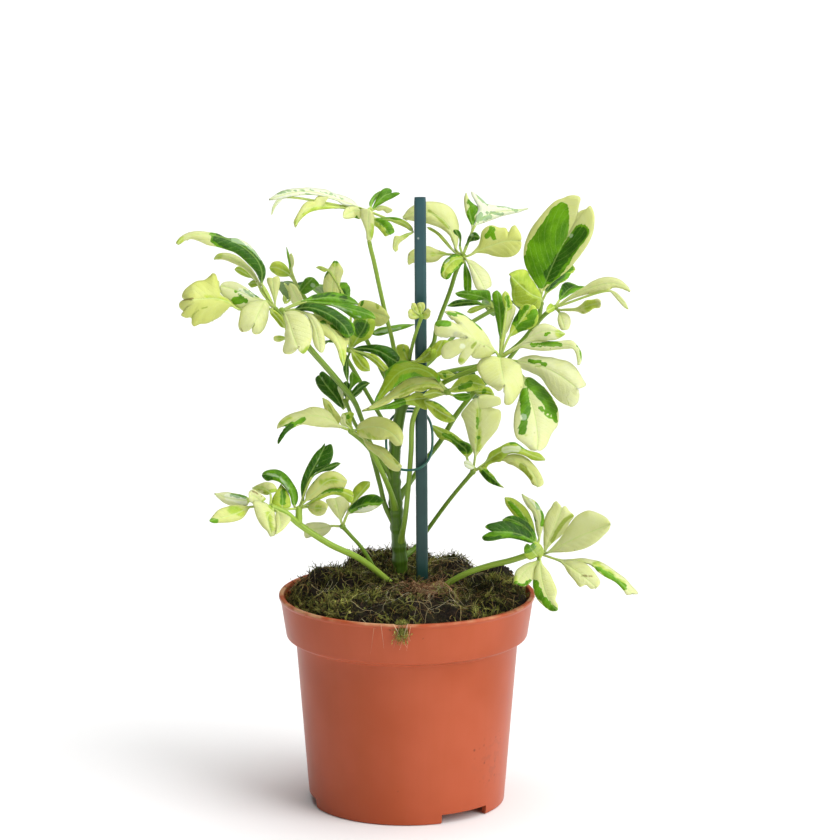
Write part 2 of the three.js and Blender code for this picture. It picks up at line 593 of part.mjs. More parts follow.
// A leaflet is a thin closed blade over a grid: its midrib a curve from the hub to the tip, its sides
// curled up round it. Both faces are split into triangles alike.
function leaflet(hub, [tip, width, arch, sway, face, outline, cup]) {
  const form = FORMS[outline];
  const across = width < 11 && form.notches.length === 0 ? [-1, 0, 1] : form.across;
  const small = width < 8 && arch < 4;
  const flat = small ? [0, PETIOLULE, 0.55, 1] : [0, PETIOLULE, 0.46, 0.76, 1];
  const rows = arch > 5 ? [0, PETIOLULE, 0.38, 0.6, 0.82, 1] : flat;
  const end = vector(tip);
  const along = end.clone().sub(vector(hub)).normalize();
  const start = vector(hub).addScaledVector(along, HUB_SINK);
  const chord = end.clone().sub(start);
  const facing = vector(face);
  const rise = facing.clone().addScaledVector(along, -facing.dot(along)).normalize();
  const aside = along.clone().cross(rise);
  const middle = start.clone().addScaledVector(chord, 0.5);
  middle.addScaledVector(rise, 2 * arch).addScaledVector(aside, 2 * sway);
  const midrib = new THREE.QuadraticBezierCurve3(start, middle, end);
  const upper = [];
  const lower = [];
  for (const way of rows) {
    for (const place of across) {
      const reach = way * reachAt(form, place);
      const point = midrib.getPoint(reach);
      const forward = midrib.getTangent(reach);
      const normal = facing.clone().addScaledVector(forward, -facing.dot(forward)).normalize();
      const side = forward.clone().cross(normal);
      const half = Math.max((width / 2) * widthAt(form, way), LEAST_HALF);
      point.addScaledVector(side, (half * Math.sin(cup * place)) / cup);
      point.addScaledVector(normal, (half * (1 - Math.cos(cup * place))) / cup);
      upper.push(point.clone().addScaledVector(normal, BLADE / 2).toArray());
      lower.push(point.clone().addScaledVector(normal, -BLADE / 2).toArray());
    }
  }
  return indexed([...upper, ...lower], gridShell(rows.length, across.length));
}

// Triangles of a closed shell over a grid of points and its copy underneath.
function gridShell(rows, columns) {
  const triangles = [];
  const under = rows * columns;
  for (let i = 0; i < rows - 1; i += 1) {
    for (let j = 0; j < columns - 1; j += 1) {
      const [a, b] = [i * columns + j, i * columns + j + 1];
      const [c, d] = [b + columns, a + columns];
      triangles.push(a, b, c, a, c, d);
      triangles.push(under + a, under + c, under + b, under + a, under + d, under + c);
    }
  }
  const edge = [];
  for (let j = 0; j < columns; j += 1) edge.push(j);
  for (let i = 1; i < rows; i += 1) edge.push(i * columns + columns - 1);
  for (let j = columns - 2; j >= 0; j -= 1) edge.push((rows - 1) * columns + j);
  for (let i = rows - 2; i > 0; i -= 1) edge.push(i * columns);
  edge.forEach((a, i) => {
    const b = edge[(i + 1) % edge.length];
    triangles.push(a, under + a, under + b, a, under + b, b);
  });
  return triangles;
}

// A palmate leaf: its stalk with a knob at the hub, and its leaflets sunk into the knob.
function frondBody([[, radius], stalk, leaflets]) {
  const points = stalk.map((point) => (typeof point === 'number' ? stemAt(point) : point));
  const hub = points[points.length - 1];
  const flare = (way) => radius * (1 + 0.5 * Math.max(0, 1 - way * 6) + 0.25 * Math.max(0, way * 8 - 7));
  const knob = new THREE.IcosahedronGeometry(HUB_RADIUS, 0).translate(...hub);
  const pieces = [solid(bar(points, flare, STALK_SIDES, points.length + 2)), solid(knob)];
  for (const row of leaflets) pieces.push(solid(leaflet(hub, row)));
  return joined(pieces);
}

// The stretch of a stalk that stands in the soil or the moss, a gap wider, to leave its hole.
function footClearance([[, radius], stalk]) {
  const points = stalk.map((point) => (typeof point === 'number' ? stemAt(point) : point));
  const flare = (way) => radius * (1 + 0.5 * Math.max(0, 1 - way * 6)) + GAP;
  return solid(bar(lengthened(points, GAP), flare, STALK_SIDES, points.length + 2));
}

const stemClear = stemBody(GAP);
const shoots = FRONDS.filter(([, [foot]]) => typeof foot !== 'number' && foot[2] < POT_HEIGHT);
const standing = [stemClear, caneBody(GAP), ...shoots.map(footClearance)];
const plant = new THREE.Group();
plant.add(meshOf('pot', potBody(), COLOURS.pot, 0.45));
const openedFor = (body) => standing.reduce((rest, piece) => rest.subtract(piece), body);
plant.add(meshOf('potting_soil', openedFor(soilBody()), COLOURS.soil, 0.95));
plant.add(meshOf('moss', openedFor(mossBody()), COLOURS.moss, 0.95));
plant.add(meshOf('main_stem', stemBody(0), COLOURS.stem, 0.5));
plant.add(meshOf('cane', caneBody(0), COLOURS.cane, 0.5));
plant.add(meshOf('tie_ring', ringBody(), COLOURS.ring, 0.4));
for (const name of new Set(FRONDS.map(([[label]]) => label))) {
  const rows = FRONDS.filter(([[label]]) => label === name);
  const body = joined([joined(rows.map(frondBody)).subtract(stemClear)]);
  plant.add(meshOf(name, body, COLOURS.leaf, 0.5));
}

// Stand the whole on z = 0 with its box centred on the vertical axis.
const box = new THREE.Box3().setFromObject(plant);
const middle = box.getCenter(new THREE.Vector3());
plant.position.set(-middle.x, -middle.y, -box.min.z);

export default plant;
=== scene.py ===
import math

import bmesh
import bpy
import numpy as np
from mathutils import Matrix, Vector


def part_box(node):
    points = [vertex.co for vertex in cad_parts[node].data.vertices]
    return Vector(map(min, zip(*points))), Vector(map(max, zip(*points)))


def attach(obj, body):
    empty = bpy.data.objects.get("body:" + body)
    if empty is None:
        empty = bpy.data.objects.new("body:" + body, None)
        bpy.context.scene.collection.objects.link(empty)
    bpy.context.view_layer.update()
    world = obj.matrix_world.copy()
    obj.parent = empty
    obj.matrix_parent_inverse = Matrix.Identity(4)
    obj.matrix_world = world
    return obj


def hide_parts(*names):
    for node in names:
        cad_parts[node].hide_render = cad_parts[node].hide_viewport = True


# A variegated umbrella plant in a terracotta-coloured nursery pot. Lengths are in millimetres on the pot's
# axis, as in the part's source, until a mesh is made; -Y faces the viewer and +Z is up.

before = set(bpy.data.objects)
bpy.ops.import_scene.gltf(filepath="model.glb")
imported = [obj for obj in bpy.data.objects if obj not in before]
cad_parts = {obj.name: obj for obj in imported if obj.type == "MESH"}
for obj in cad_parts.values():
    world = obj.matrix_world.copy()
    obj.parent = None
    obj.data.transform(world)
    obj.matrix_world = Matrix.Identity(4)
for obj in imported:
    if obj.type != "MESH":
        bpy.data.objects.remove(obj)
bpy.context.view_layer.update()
POT_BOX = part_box("pot")
AXIS = np.array([(POT_BOX[0][i] + POT_BOX[1][i]) / 2 for i in (0, 1)] + [0.0])
MM = 0.001

# Pot.
RIM_RADIUS = 60
POT_HEIGHT = 100.5
BAND_LOW_Z = 80.6
BAND_LOW_RADIUS = 57
BODY_TOP_RADIUS = 52.6
FOOT_RADIUS = 46.3
FOOT_RING = 2.6
WALL = 1.6
FLOOR_Z = 5
FOOT_NOTCHES = {"count": 3, "first": 37, "width": 26, "height": 4.4}
DRAINS = {"count": 6, "radius": 4.5, "on_radius": 28}
DIRT_PLACE = [41, -28, 27]

# Soil and moss.
SOIL_EDGE_Z = 95
SOIL_DOME = 12
SOIL_TILT = 0.06
MOSS_RADIUS = 56.8
MOSS_LIFT = 1.5
CLUMPS = {"count": 46, "seed": 7, "low": 2.5, "high": 7.5, "narrow": 7, "wide": 12}
SHOOTS = 3600
SHOOT_LEAVES = 13
# Places on the ground: x, y, reach and how much more or less mossy they are.
PATCHES = [
    [10, -24, 9, -1.0],
    [-7, -34, 6, -0.8],
    [28, 12, 16, -0.6],
    [-36, -30, 14, 0.5],
    [-22, -8, 12, 0.3],
    [30, -34, 12, 0.3],
    [40, 16, 12, -0.9],
    [-18, -43, 7, -0.8],
    [22, -45, 7, -0.7],
    [-40, 6, 9, -0.7],
    [46, -16, 7, -0.8],
]

# Main stem, cane and tie ring.
STEM_PATH = [[-2, 6, 80], [-3, 6, 112], [-5, 5, 139], [-6, 4, 158], [-5, 5, 174], [-2, 5, 192], [1, 5, 211]]
STEM_FOOT_RADIUS = 3.9
STEM_TOP_RADIUS = 2.4
CANE = {"width": 5.6, "depth": 4.6, "foot": [7.7, -4, 24], "top": [6.2, -4, 290]}
RING = {
    "centre": [1.05, -0.6, 174.6],
    "across": 10.6,
    "reach": [9.4, 12.4],
    "wire": 0.6,
    "turns": 1.16,
    "lift": 1.6,
}

# The photograph: its camera, its width in pixels, and the lens and sensor that its view stands for.
CAMERA_FROM = np.array([6.2, -1859.8, 572.5])
CAMERA_TO = np.array([6.2, 0, 184])
PICTURE = 840
LENS = 173.6
SENSOR = 36

# Leaflets: their own stalk as a share of the length, the blade's least half-width and thickness, the stalk's
# thickness, how far the halves swell, how much the rims wave, and the farthest that a rim bends in depth.
PETIOLULE = 0.14
LEAST_HALF = 0.55
BLADE_THICK = 0.5
STALK_THICK = 1.05
PUFF = 0.04
RUFFLE = 0.4
DEEPEST = 12
# How strongly the side veins quilt the blade, how far apart they are and how they slant, and the depth and
# half-width of the midrib's groove.
QUILT = 0.1
VEIN_STEP = 3.2
VEIN_SLANT = 0.9
GROOVE = 0.35
GROOVE_HALF = 0.7
# Rows of a blade: their distance in pixels for a leaflet of the photograph, in millimetres for any other, the
# fewest and the most of them, and the fewest and the most columns on each side of the midrib.
ROW_PIXELS = 1.25
ROW_MM = 0.6
ROW_COUNTS = (14, 90)
COLUMN_COUNTS = (3, 9)
# How many points a midrib's curve has, and where the last row lies on it.
MIDRIB_POINTS = 240
LAST_ROW = 0.988
# Values that switch a colour on or off over the whole blade, and how fast the stalk turns green.
ALL_OVER = 9.0
STALK_GREEN = 14
# How far a row of the blade leans to the nearest place of its rim.
NEAR_SHARE = 0.7
# Brush strokes: the least half-width in pixels, how firm the edge is, and by level the widest half-width at
# which a green or dark green one is thin and how much wider it is then drawn, in plain green.
LEAST_STROKE = 0.7
FIRM = 0.9
THIN_STROKES = {"d": (1.5, 0.7), "g": (2.0, 0.4)}

UP = [0, -0.3, 1]
FRONT = [0, -1, 0.3]

# Outlines: how round the tip is, its width against the widest place, where that lies along the leaflet, and
# the notches as [place across, depth, half-width, how wide they open].
FORMS = {
    "plain": {"round": 0.3, "tip": 0.8, "wide": 0.62, "notches": []},
    "nicked": {"round": 0.26, "tip": 0.9, "wide": 0.66, "notches": [[0, 0.1, 0.3, 1]]},
}

# Palmate leaves, one row each: name, stalk radius, how light the stalk is, its foot (a height on the stem or
# a point), the points from there to the hub, and the leaflets. The points are in millimetres, or a string of
# spots that the photograph shows and the depth of its end. The spots were read off in its pixels. Colours
# are a tone and brush strokes, each a level, its half-width and spots; a level alone covers the whole blade.
# The levels are g green, d dark green, l lime, s painted sheen (a pale grey highlight painted where the
# blade shines), o olive and b brown.


def photo(midrib, left, right, depth, look, face=FRONT, curl=1):
    """A leaflet that the photograph shows: spots of its midrib and of both rims from foot to tip, the depths
    of its foot and tip, its colours, the way it faces and how far its rims bend back."""
    return {"midrib": midrib, "rims": (left, right), "depth": depth, "look": look, "face": face, "curl": curl}


# Any other leaflet is its tip, width, arch, sway, face, outline, how far its sides curl up, and its colours.
FRONDS = [
  ["leaf_top_left", 1.0, 0.8, 206, ["396,355 391,335 385,312 380,290 374,262 369,240 369,222 369,211", 6], [
    photo(
      "360,208 345,202 330,197 315,192.5 300,191.5 285,194.5 268,200",
      "353,200 344,196 335,193 325,190 315,188.5 305,187.5 295,188 285,190 276,194",
      "350,206 343,205 337,201 330,199 320,196 308,195 296,196 285,198 275,200",
      (4, -6),
      "0|s|g0.5 345,199 330,194 310,190.5 290,191 278,194|g0.4 340,204 325,198 305,194", [0, -0.7, 1]),
    photo(
      "284,197.5 278,201 274,207 271.5,215",
      "280,197.5 275,202 272,208",
      "280,202 276,207",
      (-5, -8), "0.3|s", curl=0.3),
    photo(
      "345,208 330,206.5 316,206.5 306,210 299,218 295,228",
      "335,206 328,204 322.5,203 323,199.5 329,198 325,196 319,195.5 315.5,198 314,201 308,201.5 303,205 "
      "299.5,211 296,217 293.5,222",
      "338,208.5 328,209 317,210.5 310,212.5 304,216.5 299.5,221 297,225",
      (2, -16), "0.7|l1.6 340,207.5 325,207 313,209.5 304,215 297,224", [-0.3, -1, 0.8]),
    photo(
      "362,211 354,211 347,214 343,217",
      "357,207.5 351,206 346,208 343,213",
      "360,219 354,218 348,219 344,218.5",
      (4, -10), "0.4|g0.8 356,217 360,222"),
    photo(
      "369,209 368,220 368.5,232 369,242",
      "361,209 360,215 363,223 366,232 367,240",
      "373.5,213 374.5,222 374,231 371.5,240",
      (-4, -6), "0.4|l1.5 372,225 372,236"),
    photo(
      "371.5,210 378,202 384,196 391,193.5",
      "374,204 377,197 381,190.5 385,188 389,188 392,190.5",
      "378,206 386,201.5 393,198 398,195 400,193.5 395,193",
      (8, 14), "0.5|l|g|d1 372,210 379,204.5 387,200"),
    photo(
      "370.5,208 372,201 376,196 380,191",
      "369,204 371,199 375,194",
      "373.5,203 377,197.5 380,193.5",
      (8, 18), "0.5|l|g", curl=0.3),
    photo(
      "371,220 378,222 385,228 389,235",
      "376,218 382,219 388,221.5 392.5,226 394.5,232 392,234",
      "374,225 378,228 382,233 385,236.5",
      (4, -12), "0.6|l|g4 380,220 388,225 391,232|d1 376,218.5 385,220.5 391,225"),
    photo(
      "374,218 388,219 400,221.5 408,226 413,232",
      "382,217.5 391,217 400,218.5 408,222.5 412.5,228",
      "386,220.5 396,222.5 404,226.5 410,231",
      (2, -4), "0.6|l|g0.9 380,218 392,217.8 402,219.5", curl=0.5),
    photo(
      "413,232 405,235.5 398,239.5 395,245 395.5,252",
      "406,233.5 400,236 395,236 393,243 393,249",
      "407,237.5 402,241 398.5,245 398,250",
      (-4, -6), "0.7|l2 412,233 403,236.5", curl=0.5),
    photo(
      "375,209 381,206.5 387,208.5 391,212",
      "380,205.5 387,206.5 392.5,210",
      "378,211 383,210.5 387,213.5",
      (10, 14), "0.6", curl=0.5),
  ]],
  ["leaf_top_right", 1.0, 0.35, 205, [
    "433,344 436,330 441,315 446,302 451,288 456,272 460,263 463,256", 14], [
    photo(
      "456,250 454.5,240 450,229 442,219 430,213 416,212.5 402,218",
      "457.5,244 458.5,235 458.5,225 456.5,216 452.5,209.5 447,205 440,202 430,201.5 418,204 408,209.5",
      "453.5,245 450,237 444,230.5 436,226.5 427,223.5 418,221.5 408,220.5",
      (14, 24), "0.5|o1.5 429,211 436,216 444,223 449,228", [0.4, -1, 0.5], 2),
    photo(
      "456,253 449,246 443,238 436,231.5 427,227",
      "446,240 439,232.5 431,227.5",
      "451,250 444,242.5 436,234 428,229",
      (14, 24), "0.5|l", curl=0.5),
    photo(
      "450,254.5 440,254.5 428,254.5 416,256 407.5,260",
      "444,252 437,249.5 429,246.5 420,247 412,250 408,254",
      "443,256.5 437,261 429,262.5 420,262 413,263 408.5,265",
      (16, 18), "0.7|b1.2 409,254.5|l1.5 444,254 432,254"),
    photo(
      "464,258 455,259.5 448,266 444,273 445.5,279.5",
      "459,254.5 453,254.5 447,258.5 443,264 440.5,271 441.5,276.5",
      "464,262.5 458,268 453,273 449,278.5",
      (12, 0),
      "0.6|l|g1.3 460,255 451,256 444,263 441,272|g1.2 464,262 456,270 448,278|s1 445,264 449,260",
      [-0.8, -1, 0.6]),
    photo(
      "460,247 460,240 457.5,234 455,229.5",
      "458.5,237 454.5,234 453,230.5",
      "461.5,238 460.5,233 458,230",
      (12, 6), "0.5|l|g|d", curl=0.5),
    photo(
      "466,246 470,240 474,236 480,237.5",
      "468,238 471,233.5 475,232 478,234",
      "470,242 475,241 479,239.5",
      (12, 4), "0.5|l|g|d|s2 472,235", curl=0.5),
    photo(
      "472.5,229 471,218 468.5,206 466,192.5",
      "470,223 466.5,215 464.5,206 464,198",
      "475,222 478.5,214 478.5,207.5 474,204 470,200.5 467.5,196",
      (16, 24), "0.3|g3 472,222 471,213|g2.6 470,212 473,205 476,210|g1.5 469,202 472,206"),
    photo(
      "475,226 484,217 497,212 512,210.5 529,208.5",
      "476,216 478,209 476,202 472,196 471,191.5 476,194 481.5,198.5 486,203.5 496,205.5 505,206 514,209 "
      "522,209",
      "482,223.5 490,220.5 500,217 510,214.5 520,212",
      (16, 30),
      "0|s|g1.2 476,195 482,200 487,204|g1.2 498,206 507,207 516,209.5|g2 477,221 481,214|g1.6 480,220 "
      "490,216|g0.7 486,212.5 502,214"),
    photo(
      "468,256 480,250 493,245 507,241 521,241",
      "478,246 480,239 481.5,232 486,227.5 492,225.5 499,227.5 506,228 508.5,232 511,227 515,225 518,229 "
      "521,235",
      "476,253 486,253.5 494,256 504,257.5 512,256.5 518,253 521.5,247",
      (12, 8), "0.95|g2.5 487,236 493,230|g1.8 494,238 491,228", [0.1, -1, 0.4], 1.5),
    photo(
      "464.5,262 467,272 468,282 467.5,292",
      "463.5,268 463.5,280 464.5,290",
      "468,268 471,276 471.5,284 470.5,291",
      (10, 4), "0.5|l|g|d1.2 469,268 471,280", curl=0.5),
    photo(
      "466,259 473,268 479,278 485,290",
      "469,267 471.5,276 474,284 477,289.5",
      "472,260.5 480,265.5 486,271 490,278 491.5,286",
      (10, -4), "0.15", [0.5, -1, 0.4]),
  ]],
  ["leaf_back_right", 1.0, 0.35, 201, [[11, 20, 208], [26, 34, 221], [41, 42, 229]], [
    photo(
      "491,303 483,297.5 472,294.5 455,293",
      "491,296 489,290.5 480,290 470,290 461,291",
      "487,299.5 480,300.5 471,300 463,298 457,295.5",
      (40, 36), "0.5|l|g|d1.5 465,293 485,293"),
    photo(
      "489,309 478,303 466,302.5 447,306",
      "478,301 470,299.5 460,299.5 452,302",
      "478,305 470,305.5 460,306.5 452,307",
      (44, 44), "0.5|l|g|d3 470,303 455,304"),
    photo(
      "489,306 478,308.5 467,312",
      "478,305.5 470,308.5",
      "480,310 471,313.5",
      (42, 40), "0.6|l", curl=0.3),
      [[44, 82, 218], 14, 6, 0, [0, 0.6, 1], "nicked", 0.3, "mixed"],
      [[57, 72, 222], 13, 5, 0, [0.4, 0.5, 1], "plain", 0.3, "dark"],
  ]],
  ["leaf_right_back", 1.1, 0.35, 197,
    [[16, 16, 203], [39, 18, 208], [53, 18, 217], [62, 16, 230], [63, 14, 237]], [
    photo(
      "541.5,294 546,281.5 551,269 557,256 563,244 568,235 572,229",
      "537,286 532,278.5 527.5,271 524.5,263 523.5,254 524.5,245 527.5,236 532,227.5 538,219.5 544,212 "
      "551,204.5 557,200 563,198 569,195.5 577,195.5 580.5,198 579,206 576.5,214 574,222",
      "546,288.5 553,282 561,276 569,269 576,261 583,252 588.5,243.5 592.5,234 594.5,224 594.5,215 "
      "592.5,208.5 590,205.5 587,208.5 581,210.5 577,214 574.5,221",
      (14, 24),
      "0.6|g8.5 539,281 534,270 533,258 536,247 544,236 551,224 557,214|g7 546,262 552,250 560,237 "
      "562,222 562,210|d6 549,276 559,263 569,249 577,239 581,232|s2.5 571,236", [-0.3, -1, 0.2], 0),
    photo(
      "541,299 531,294 520,285 511,276",
      "541,293 536,285.5 531,277 526.5,270.5 521,269.5 514,271.5 509,274.5",
      "539,309 531,307 522,307.5 515,304.5 512,297 511.5,288 509.5,280",
      (12, 2), "0.6|l|o5.5 520,289 521,298 528,301|o4 532,302 538,303", [0.2, -1, 0.5], 3),
      [[76, 52, 250], 13, 4, 0, [0.4, 0.3, 1], "nicked", 0.3, "edged"],
  ]],
  ["leaf_right", 1.0, 0.35, 191,
    [[16, 10, 195], [39, 8, 203], [55, 2, 222], [64, -1, 234], [69, -2, 238]], [
    photo(
      "557,306 570,298 585,290.5 600,285 614,283.5 624,286.5 631,292",
      "562,301.5 570,295.5 578,290.5 586,286 592,281.5 599,278 607,276.5 615,278 622,281 627.5,286",
      "563,303.5 571,299.5 580,296.5 590,294 600,292 608,291 613,288 621,288.5 627,291",
      (-2, -12), "0.4|o0.8 609,289.5 614,288 622,289 629,291.5", [0, -1, 0.7]),
    photo(
      "610,291 617,295.5 623,302 628.5,309.5",
      "615,291.5 621,296.5 626,303",
      "613,295 619,302 625,308",
      (-10, -16), "0.2", curl=0.3),
    photo(
      "558,309.5 570,309.5 582,308 592,304.5 601,303",
      "566,308.3 576,307.5 582,304 586,300.5 592,299.5 597,298.3 600.5,300.5",
      "566,311 576,311.5 583,314 589,312 594,308.5 600,307.5",
      (-2, -24), "0.6|l7 591,305|o0.8 581,313.5 590,311"),
    photo(
      "559,312 562,320 565,330",
      "557.5,318 559,326 561.5,330",
      "565,313 570,317 570.5,324 568,329.5",
      (-2, -18), "0.3"),
    photo(
      "555,307 550,309 546,312",
      "552,304 550,303.5 547,307",
      "554,311 549,313",
      (-2, -14), "0.6|l", curl=0.3),
      [[82, 30, 242], 9, 4, 0, [0.3, 0.2, 1], "plain", 0.3, "mixed"],
  ]],
  ["leaf_front_right", 1.2, 0.75, 122,
    [[-1, -1, 136], [1, -3, 156], [2, -4, 170], [3, -7, 186], [8, -12, 197], [18, -18, 206], [32, -23, 213],
     [43, -28, 219]], [
    photo(
      "500.5,340 500.5,325 499.5,308 497,290",
      "499,335 497,324 494.5,313 493,302 492.5,294",
      "502,332 504,320 505,310 503.5,301 501,294",
      (-24, -14), "0.5|l|g|d1.5 503,328 504,312 502,300"),
    photo(
      "504.5,336 507,325 510,314 512,304",
      "504.5,328 504.5,316 506,307",
      "508,331 512,321 515,312 515.5,307",
      (-24, -20), "0.25", curl=0.5),
    photo(
      "506,312 507,303 505,291",
      "503,303 502,295",
      "513,307 511,299 508,293",
      (-22, -18), "0.6|l|d1.5 507,298 508,306", curl=0.5),
    photo(
      "509,337 516,327 524,317 531,305",
      "510.5,328 513,320 517,313 521,307 526,304",
      "515,335 522,331.5 530,329 536,325 538.5,318 537.5,310 534,305.5",
      (-26, -24), "0.6|l|g4 534,313 530,322 520,328|g3 526,308 519,316 514,322|d3 516,312 515,319"),
    photo(
      "496,352 488,347 480,342 473,339 468,337.5",
      "492,345 487,337 482,330 476,324 470,319 464,314.5 457,311.5 448,310.5 444,312 450,315 457,318 "
      "461,322 458,324 450,321 443,320 436,321.5 434,327 435,334 440,337 446,336 449,332 455,330.5 "
      "463,333",
      "490,356 484,358 478,359 472,357 470,351 468,356 465,362 461,365 458,362 459,356 461,352 456,356 "
      "449,359 443,358 441,352 443,346 448,342 455,340 463,339",
      (-28, -46),
      "0.4|d0.9 455,311.5 466,315.5 475,323 482,331|g3 438,324 448,324|g1 448,313 458,316|s3 "
      "462,346|b1 484,346|o1.5 472,347 476,342|l2.5 461,360", [-0.1, -1, 0.6], 1.5),
    photo(
      "500,358 501,366 503,376 504.5,385",
      "492,356 483,358 478,362 477,368 481,377 487,384 494,388 499,391 502,388",
      "508,358 515,361 520,366 522.5,374 523.5,384 521,391 516,399 511,404.5 505,404.5 505,398 506,390",
      (-30, -60), "0.5", curl=3),
    photo(
      "508,352 518,345.5 530,337 545,331 566,334",
      "526,339 530,333 534.5,328 540,324 545,323.5 552,326 559,330",
      "528,343 537,340.5 546,340.5 555,340 561,337.5",
      (-30, -34), "0.1|l4.5 560,334|g0.8 545,335 550,333", [0, -1, 0.6]),
    photo(
      "512,351 524,346 542,345.5 560,345 572,346 578.5,353 578,366",
      "522,344 530,341.5 540,340.5 552,341 564,340.5 572,340.5 577,345 581,352 581.5,360 579.5,365",
      "522,348 533,350 544,351 556,350 566,349 573,349 576,354 577,360",
      (-30, -44),
      "0.15|g1.8 540,344.5 555,344|d1 532,345 542,344 552,343.5 561,345.5"
      "|g0.5 577,346 580.5,353 581,361", [0.1, -1, 0.7]),
    photo(
      "516,361 532,364 550,370 565,379 577.5,388.5",
      "522,357.5 531,355.5 540,355.5 550,357 560,359.5 568,362 574.5,366 579,372 583,379 586,385 583,387.5",
      "521,368 529,371.5 537,375.5 543,381 548,388 553,395.5 560,402 567,405.5 572,407 577,404 579.5,398 "
      "579,392",
      (-30, -54),
      "0.1|g1.6 530,361 538,362.5 545,364.5|o1 536,366.5 541,366|b0.8 583,378|b0.6 576.5,368 "
      "578,370.5|o0.5 566,396 569,405", [0.4, -1, 0.5], 3),
    photo(
      "523.5,377 527,390 532,405 535.5,420 537.5,436 537,450.5",
      "522,385 520,393 517.5,402 515,412 513.5,422 514,431 516.5,438 521,442 526,446 531,450",
      "530,377 537,381 544,387 550,394.5 555,402 558,410 559,418 557.5,426 553,432 549.5,438 546,446 "
      "541,450.5",
      (-32, -70),
      "0.15|g6 530,382 539,391 547,401 552,409|g2.5 553,412 556,421|g1.5 540,408 550,418|g5 524,393 "
      "525.5,405 525.5,414|g4 524,424 522,431|g1.5 518,430|s3.5 523.5,417|l1.5 526,436"
      "|b0.6 534,433", [0.2, -1, 0.3], 2),
  ]],
  ["leaf_crown", 1.3, 0.35, 200, [[6, -10, 207], [13, -18, 206], [19, -24, 202]], [
    photo(
      "440,384 428,372 413,368 400,372 390,382 382,393 374,403",
      "440,377 433,369 424,365.5 414,362.5 404,361 397,362.5 390,366.5 385,372.5 383.5,381 380,389 376,397",
      "436,378 428,377.5 419,376 410,378 402,382 395,387 388,392.5 381,399",
      (-24, -32),
      "0.5|l|g|o6 384,398 388,384 398,370 415,366 432,374|d1.5 405,365 420,369", [-0.1, -1, 0.8], 2),
    photo(
      "447,393 440,385 428,383 414,385 401,391 388,399 374,406 361,411",
      "445,387 440,381 433,378 424,377 414,378.5 406,380.5 399,385.5 391,391 383,397.5 374,403.5 367,408",
      "441,391.5 435,389 428,389.5 422,392 415,391.5 408,395.5 400,398.5 394,399 388,403.5 378,407.5 "
      "368,410",
      (-24, -26),
      "0.9|l1.5 440,386 428,384 414,386 401,392|o1.5 430,388 415,390 400,397", [0, -1, 0.7], 1.5),
    photo(
      "428,398 416,399 402,402 388,406 374,409 361,411.5",
      "424,394 416,392.5 408,396.5 398,399.5 388,404 374,408",
      "427,409.5 420,408 413,405.5 405,404.5 396,408.5 384,409.5 370,410.5",
      (-22, -25), "0.5|l|g6 361,411 400,403|o4 418,400 426,406"),
    photo(
      "425,401 433,407 443,413.5 456,420",
      "430,400.5 436,402 441,404.5 447,410 453,415.5",
      "427,407 431,413 436,418 443,421.5 450,422.5",
      (-24, -38), "0.9|l|o2.5 436,410 446,417|d0.6 431,400.5 440,404 448,411 456,418"),
    photo(
      "443,394 436,392.5 430,393.5 423,395",
      "440,390 433,389 427,391",
      "438,396 431,398 425,397.5",
      (-24, -28), "0.9|o", curl=0.5),
    photo(
      "437,374 444,374.5 455,374.5",
      "443,370 450,371.5",
      "442,379.5 449,378",
      (-20, -22), "0.6|l|g2 445,376", curl=0.5),
    photo(
      "448,392 458,386 470,382.5 486,386",
      "452,386.5 456,381.5 461,377.5 468,375 476,374.5 482,379",
      "455,392.5 464,391.8 473,391 481,388.5",
      (-24, -30), "0.6|l|g3 470,384 460,388"),
    photo(
      "452,395 461,397 471,395",
      "458,393.5 466,393",
      "457,399.5 464,401 470,398",
      (-18, -20), "0.6|l|g", curl=0.5),
  ]],
  ["leaf_young", 0.8, 0.6, 208, [[2, -6, 218], [4, -13, 227], [7, -15, 236]], [
    photo(
      "420,317 413,316 408,312",
      "415,319.5 409,318",
      "414,312 410,308.5",
      (-15, -18), "0.9|l1.5 414,315", curl=0.5),
    photo(
      "420,315 414,310 412,303",
      "415,313 411,308",
      "418,309 415,303",
      (-15, -17), "0.9|l1.5 414,309", curl=0.5),
    photo(
      "421,315 422,308 420,302.5",
      "418,310 417,304",
      "425,308 424,303",
      (-15, -14), "0.9|l1.5 421,308", curl=0.5),
    photo(
      "421,317 427,316 430.5,311",
      "426,319.5 430,316",
      "424,312 428,308",
      (-15, -18), "0.9|l1.5 427,315", curl=0.5),
  ]],
  ["leaf_young", 1.0, 0.5, 206, [[0, 2, 209], [0, 0, 212]], [
    photo(
      "408,361 405,354 403,344",
      "402,361 397.5,353 397,346",
      "409,358 410,351 408,345.5",
      (-2, -6), "1|l|g1.5 404,350"),
    photo(
      "412,362 422,359 430,352",
      "418,358 425,351 430,347.5",
      "424,363 433,360 437,353 434,348.5",
      (-8, -12), "1|l|o3 428,355"),
    photo(
      "425,360 436,352 443,340",
      "430,350 438,341",
      "436,358 447,349 449,341",
      (-8, -8), "1|l|g1.5 443,346"),
  ]],
  ["leaf_left", 1.1, 0.35, 131, [
    "386,508 380,485 374,462 368,440 361,418 354,402 342,387 326,368 311,351 292,328 275,309", 0], [
    photo(
      "262,284 262,272 257,260 246,249 232,241 217,236 203,234 190,236 181,240 177,245",
      "265,276 265,268 263,262 258,255 250,245 243,240.5 236,238.5 227,238 218,234 207,231.5 193,231.5 "
      "186,233.5 180,237.5 176,243",
      "260,281 256,273 250,266 243,259 235,253 227,250 217,247 207,245 200,241.5 192,239.5 186,240.5 "
      "180,244",
      (-1, -8),
      "0.4|d6 262,284 261,270 252,259 241,251 229,244 219,239|s2.5 261,258 254,250 244,243 233,240|g2 "
      "212,234 217,235|l3 177,245 182,240", [0.3, -1, 0.8], 2),
    photo(
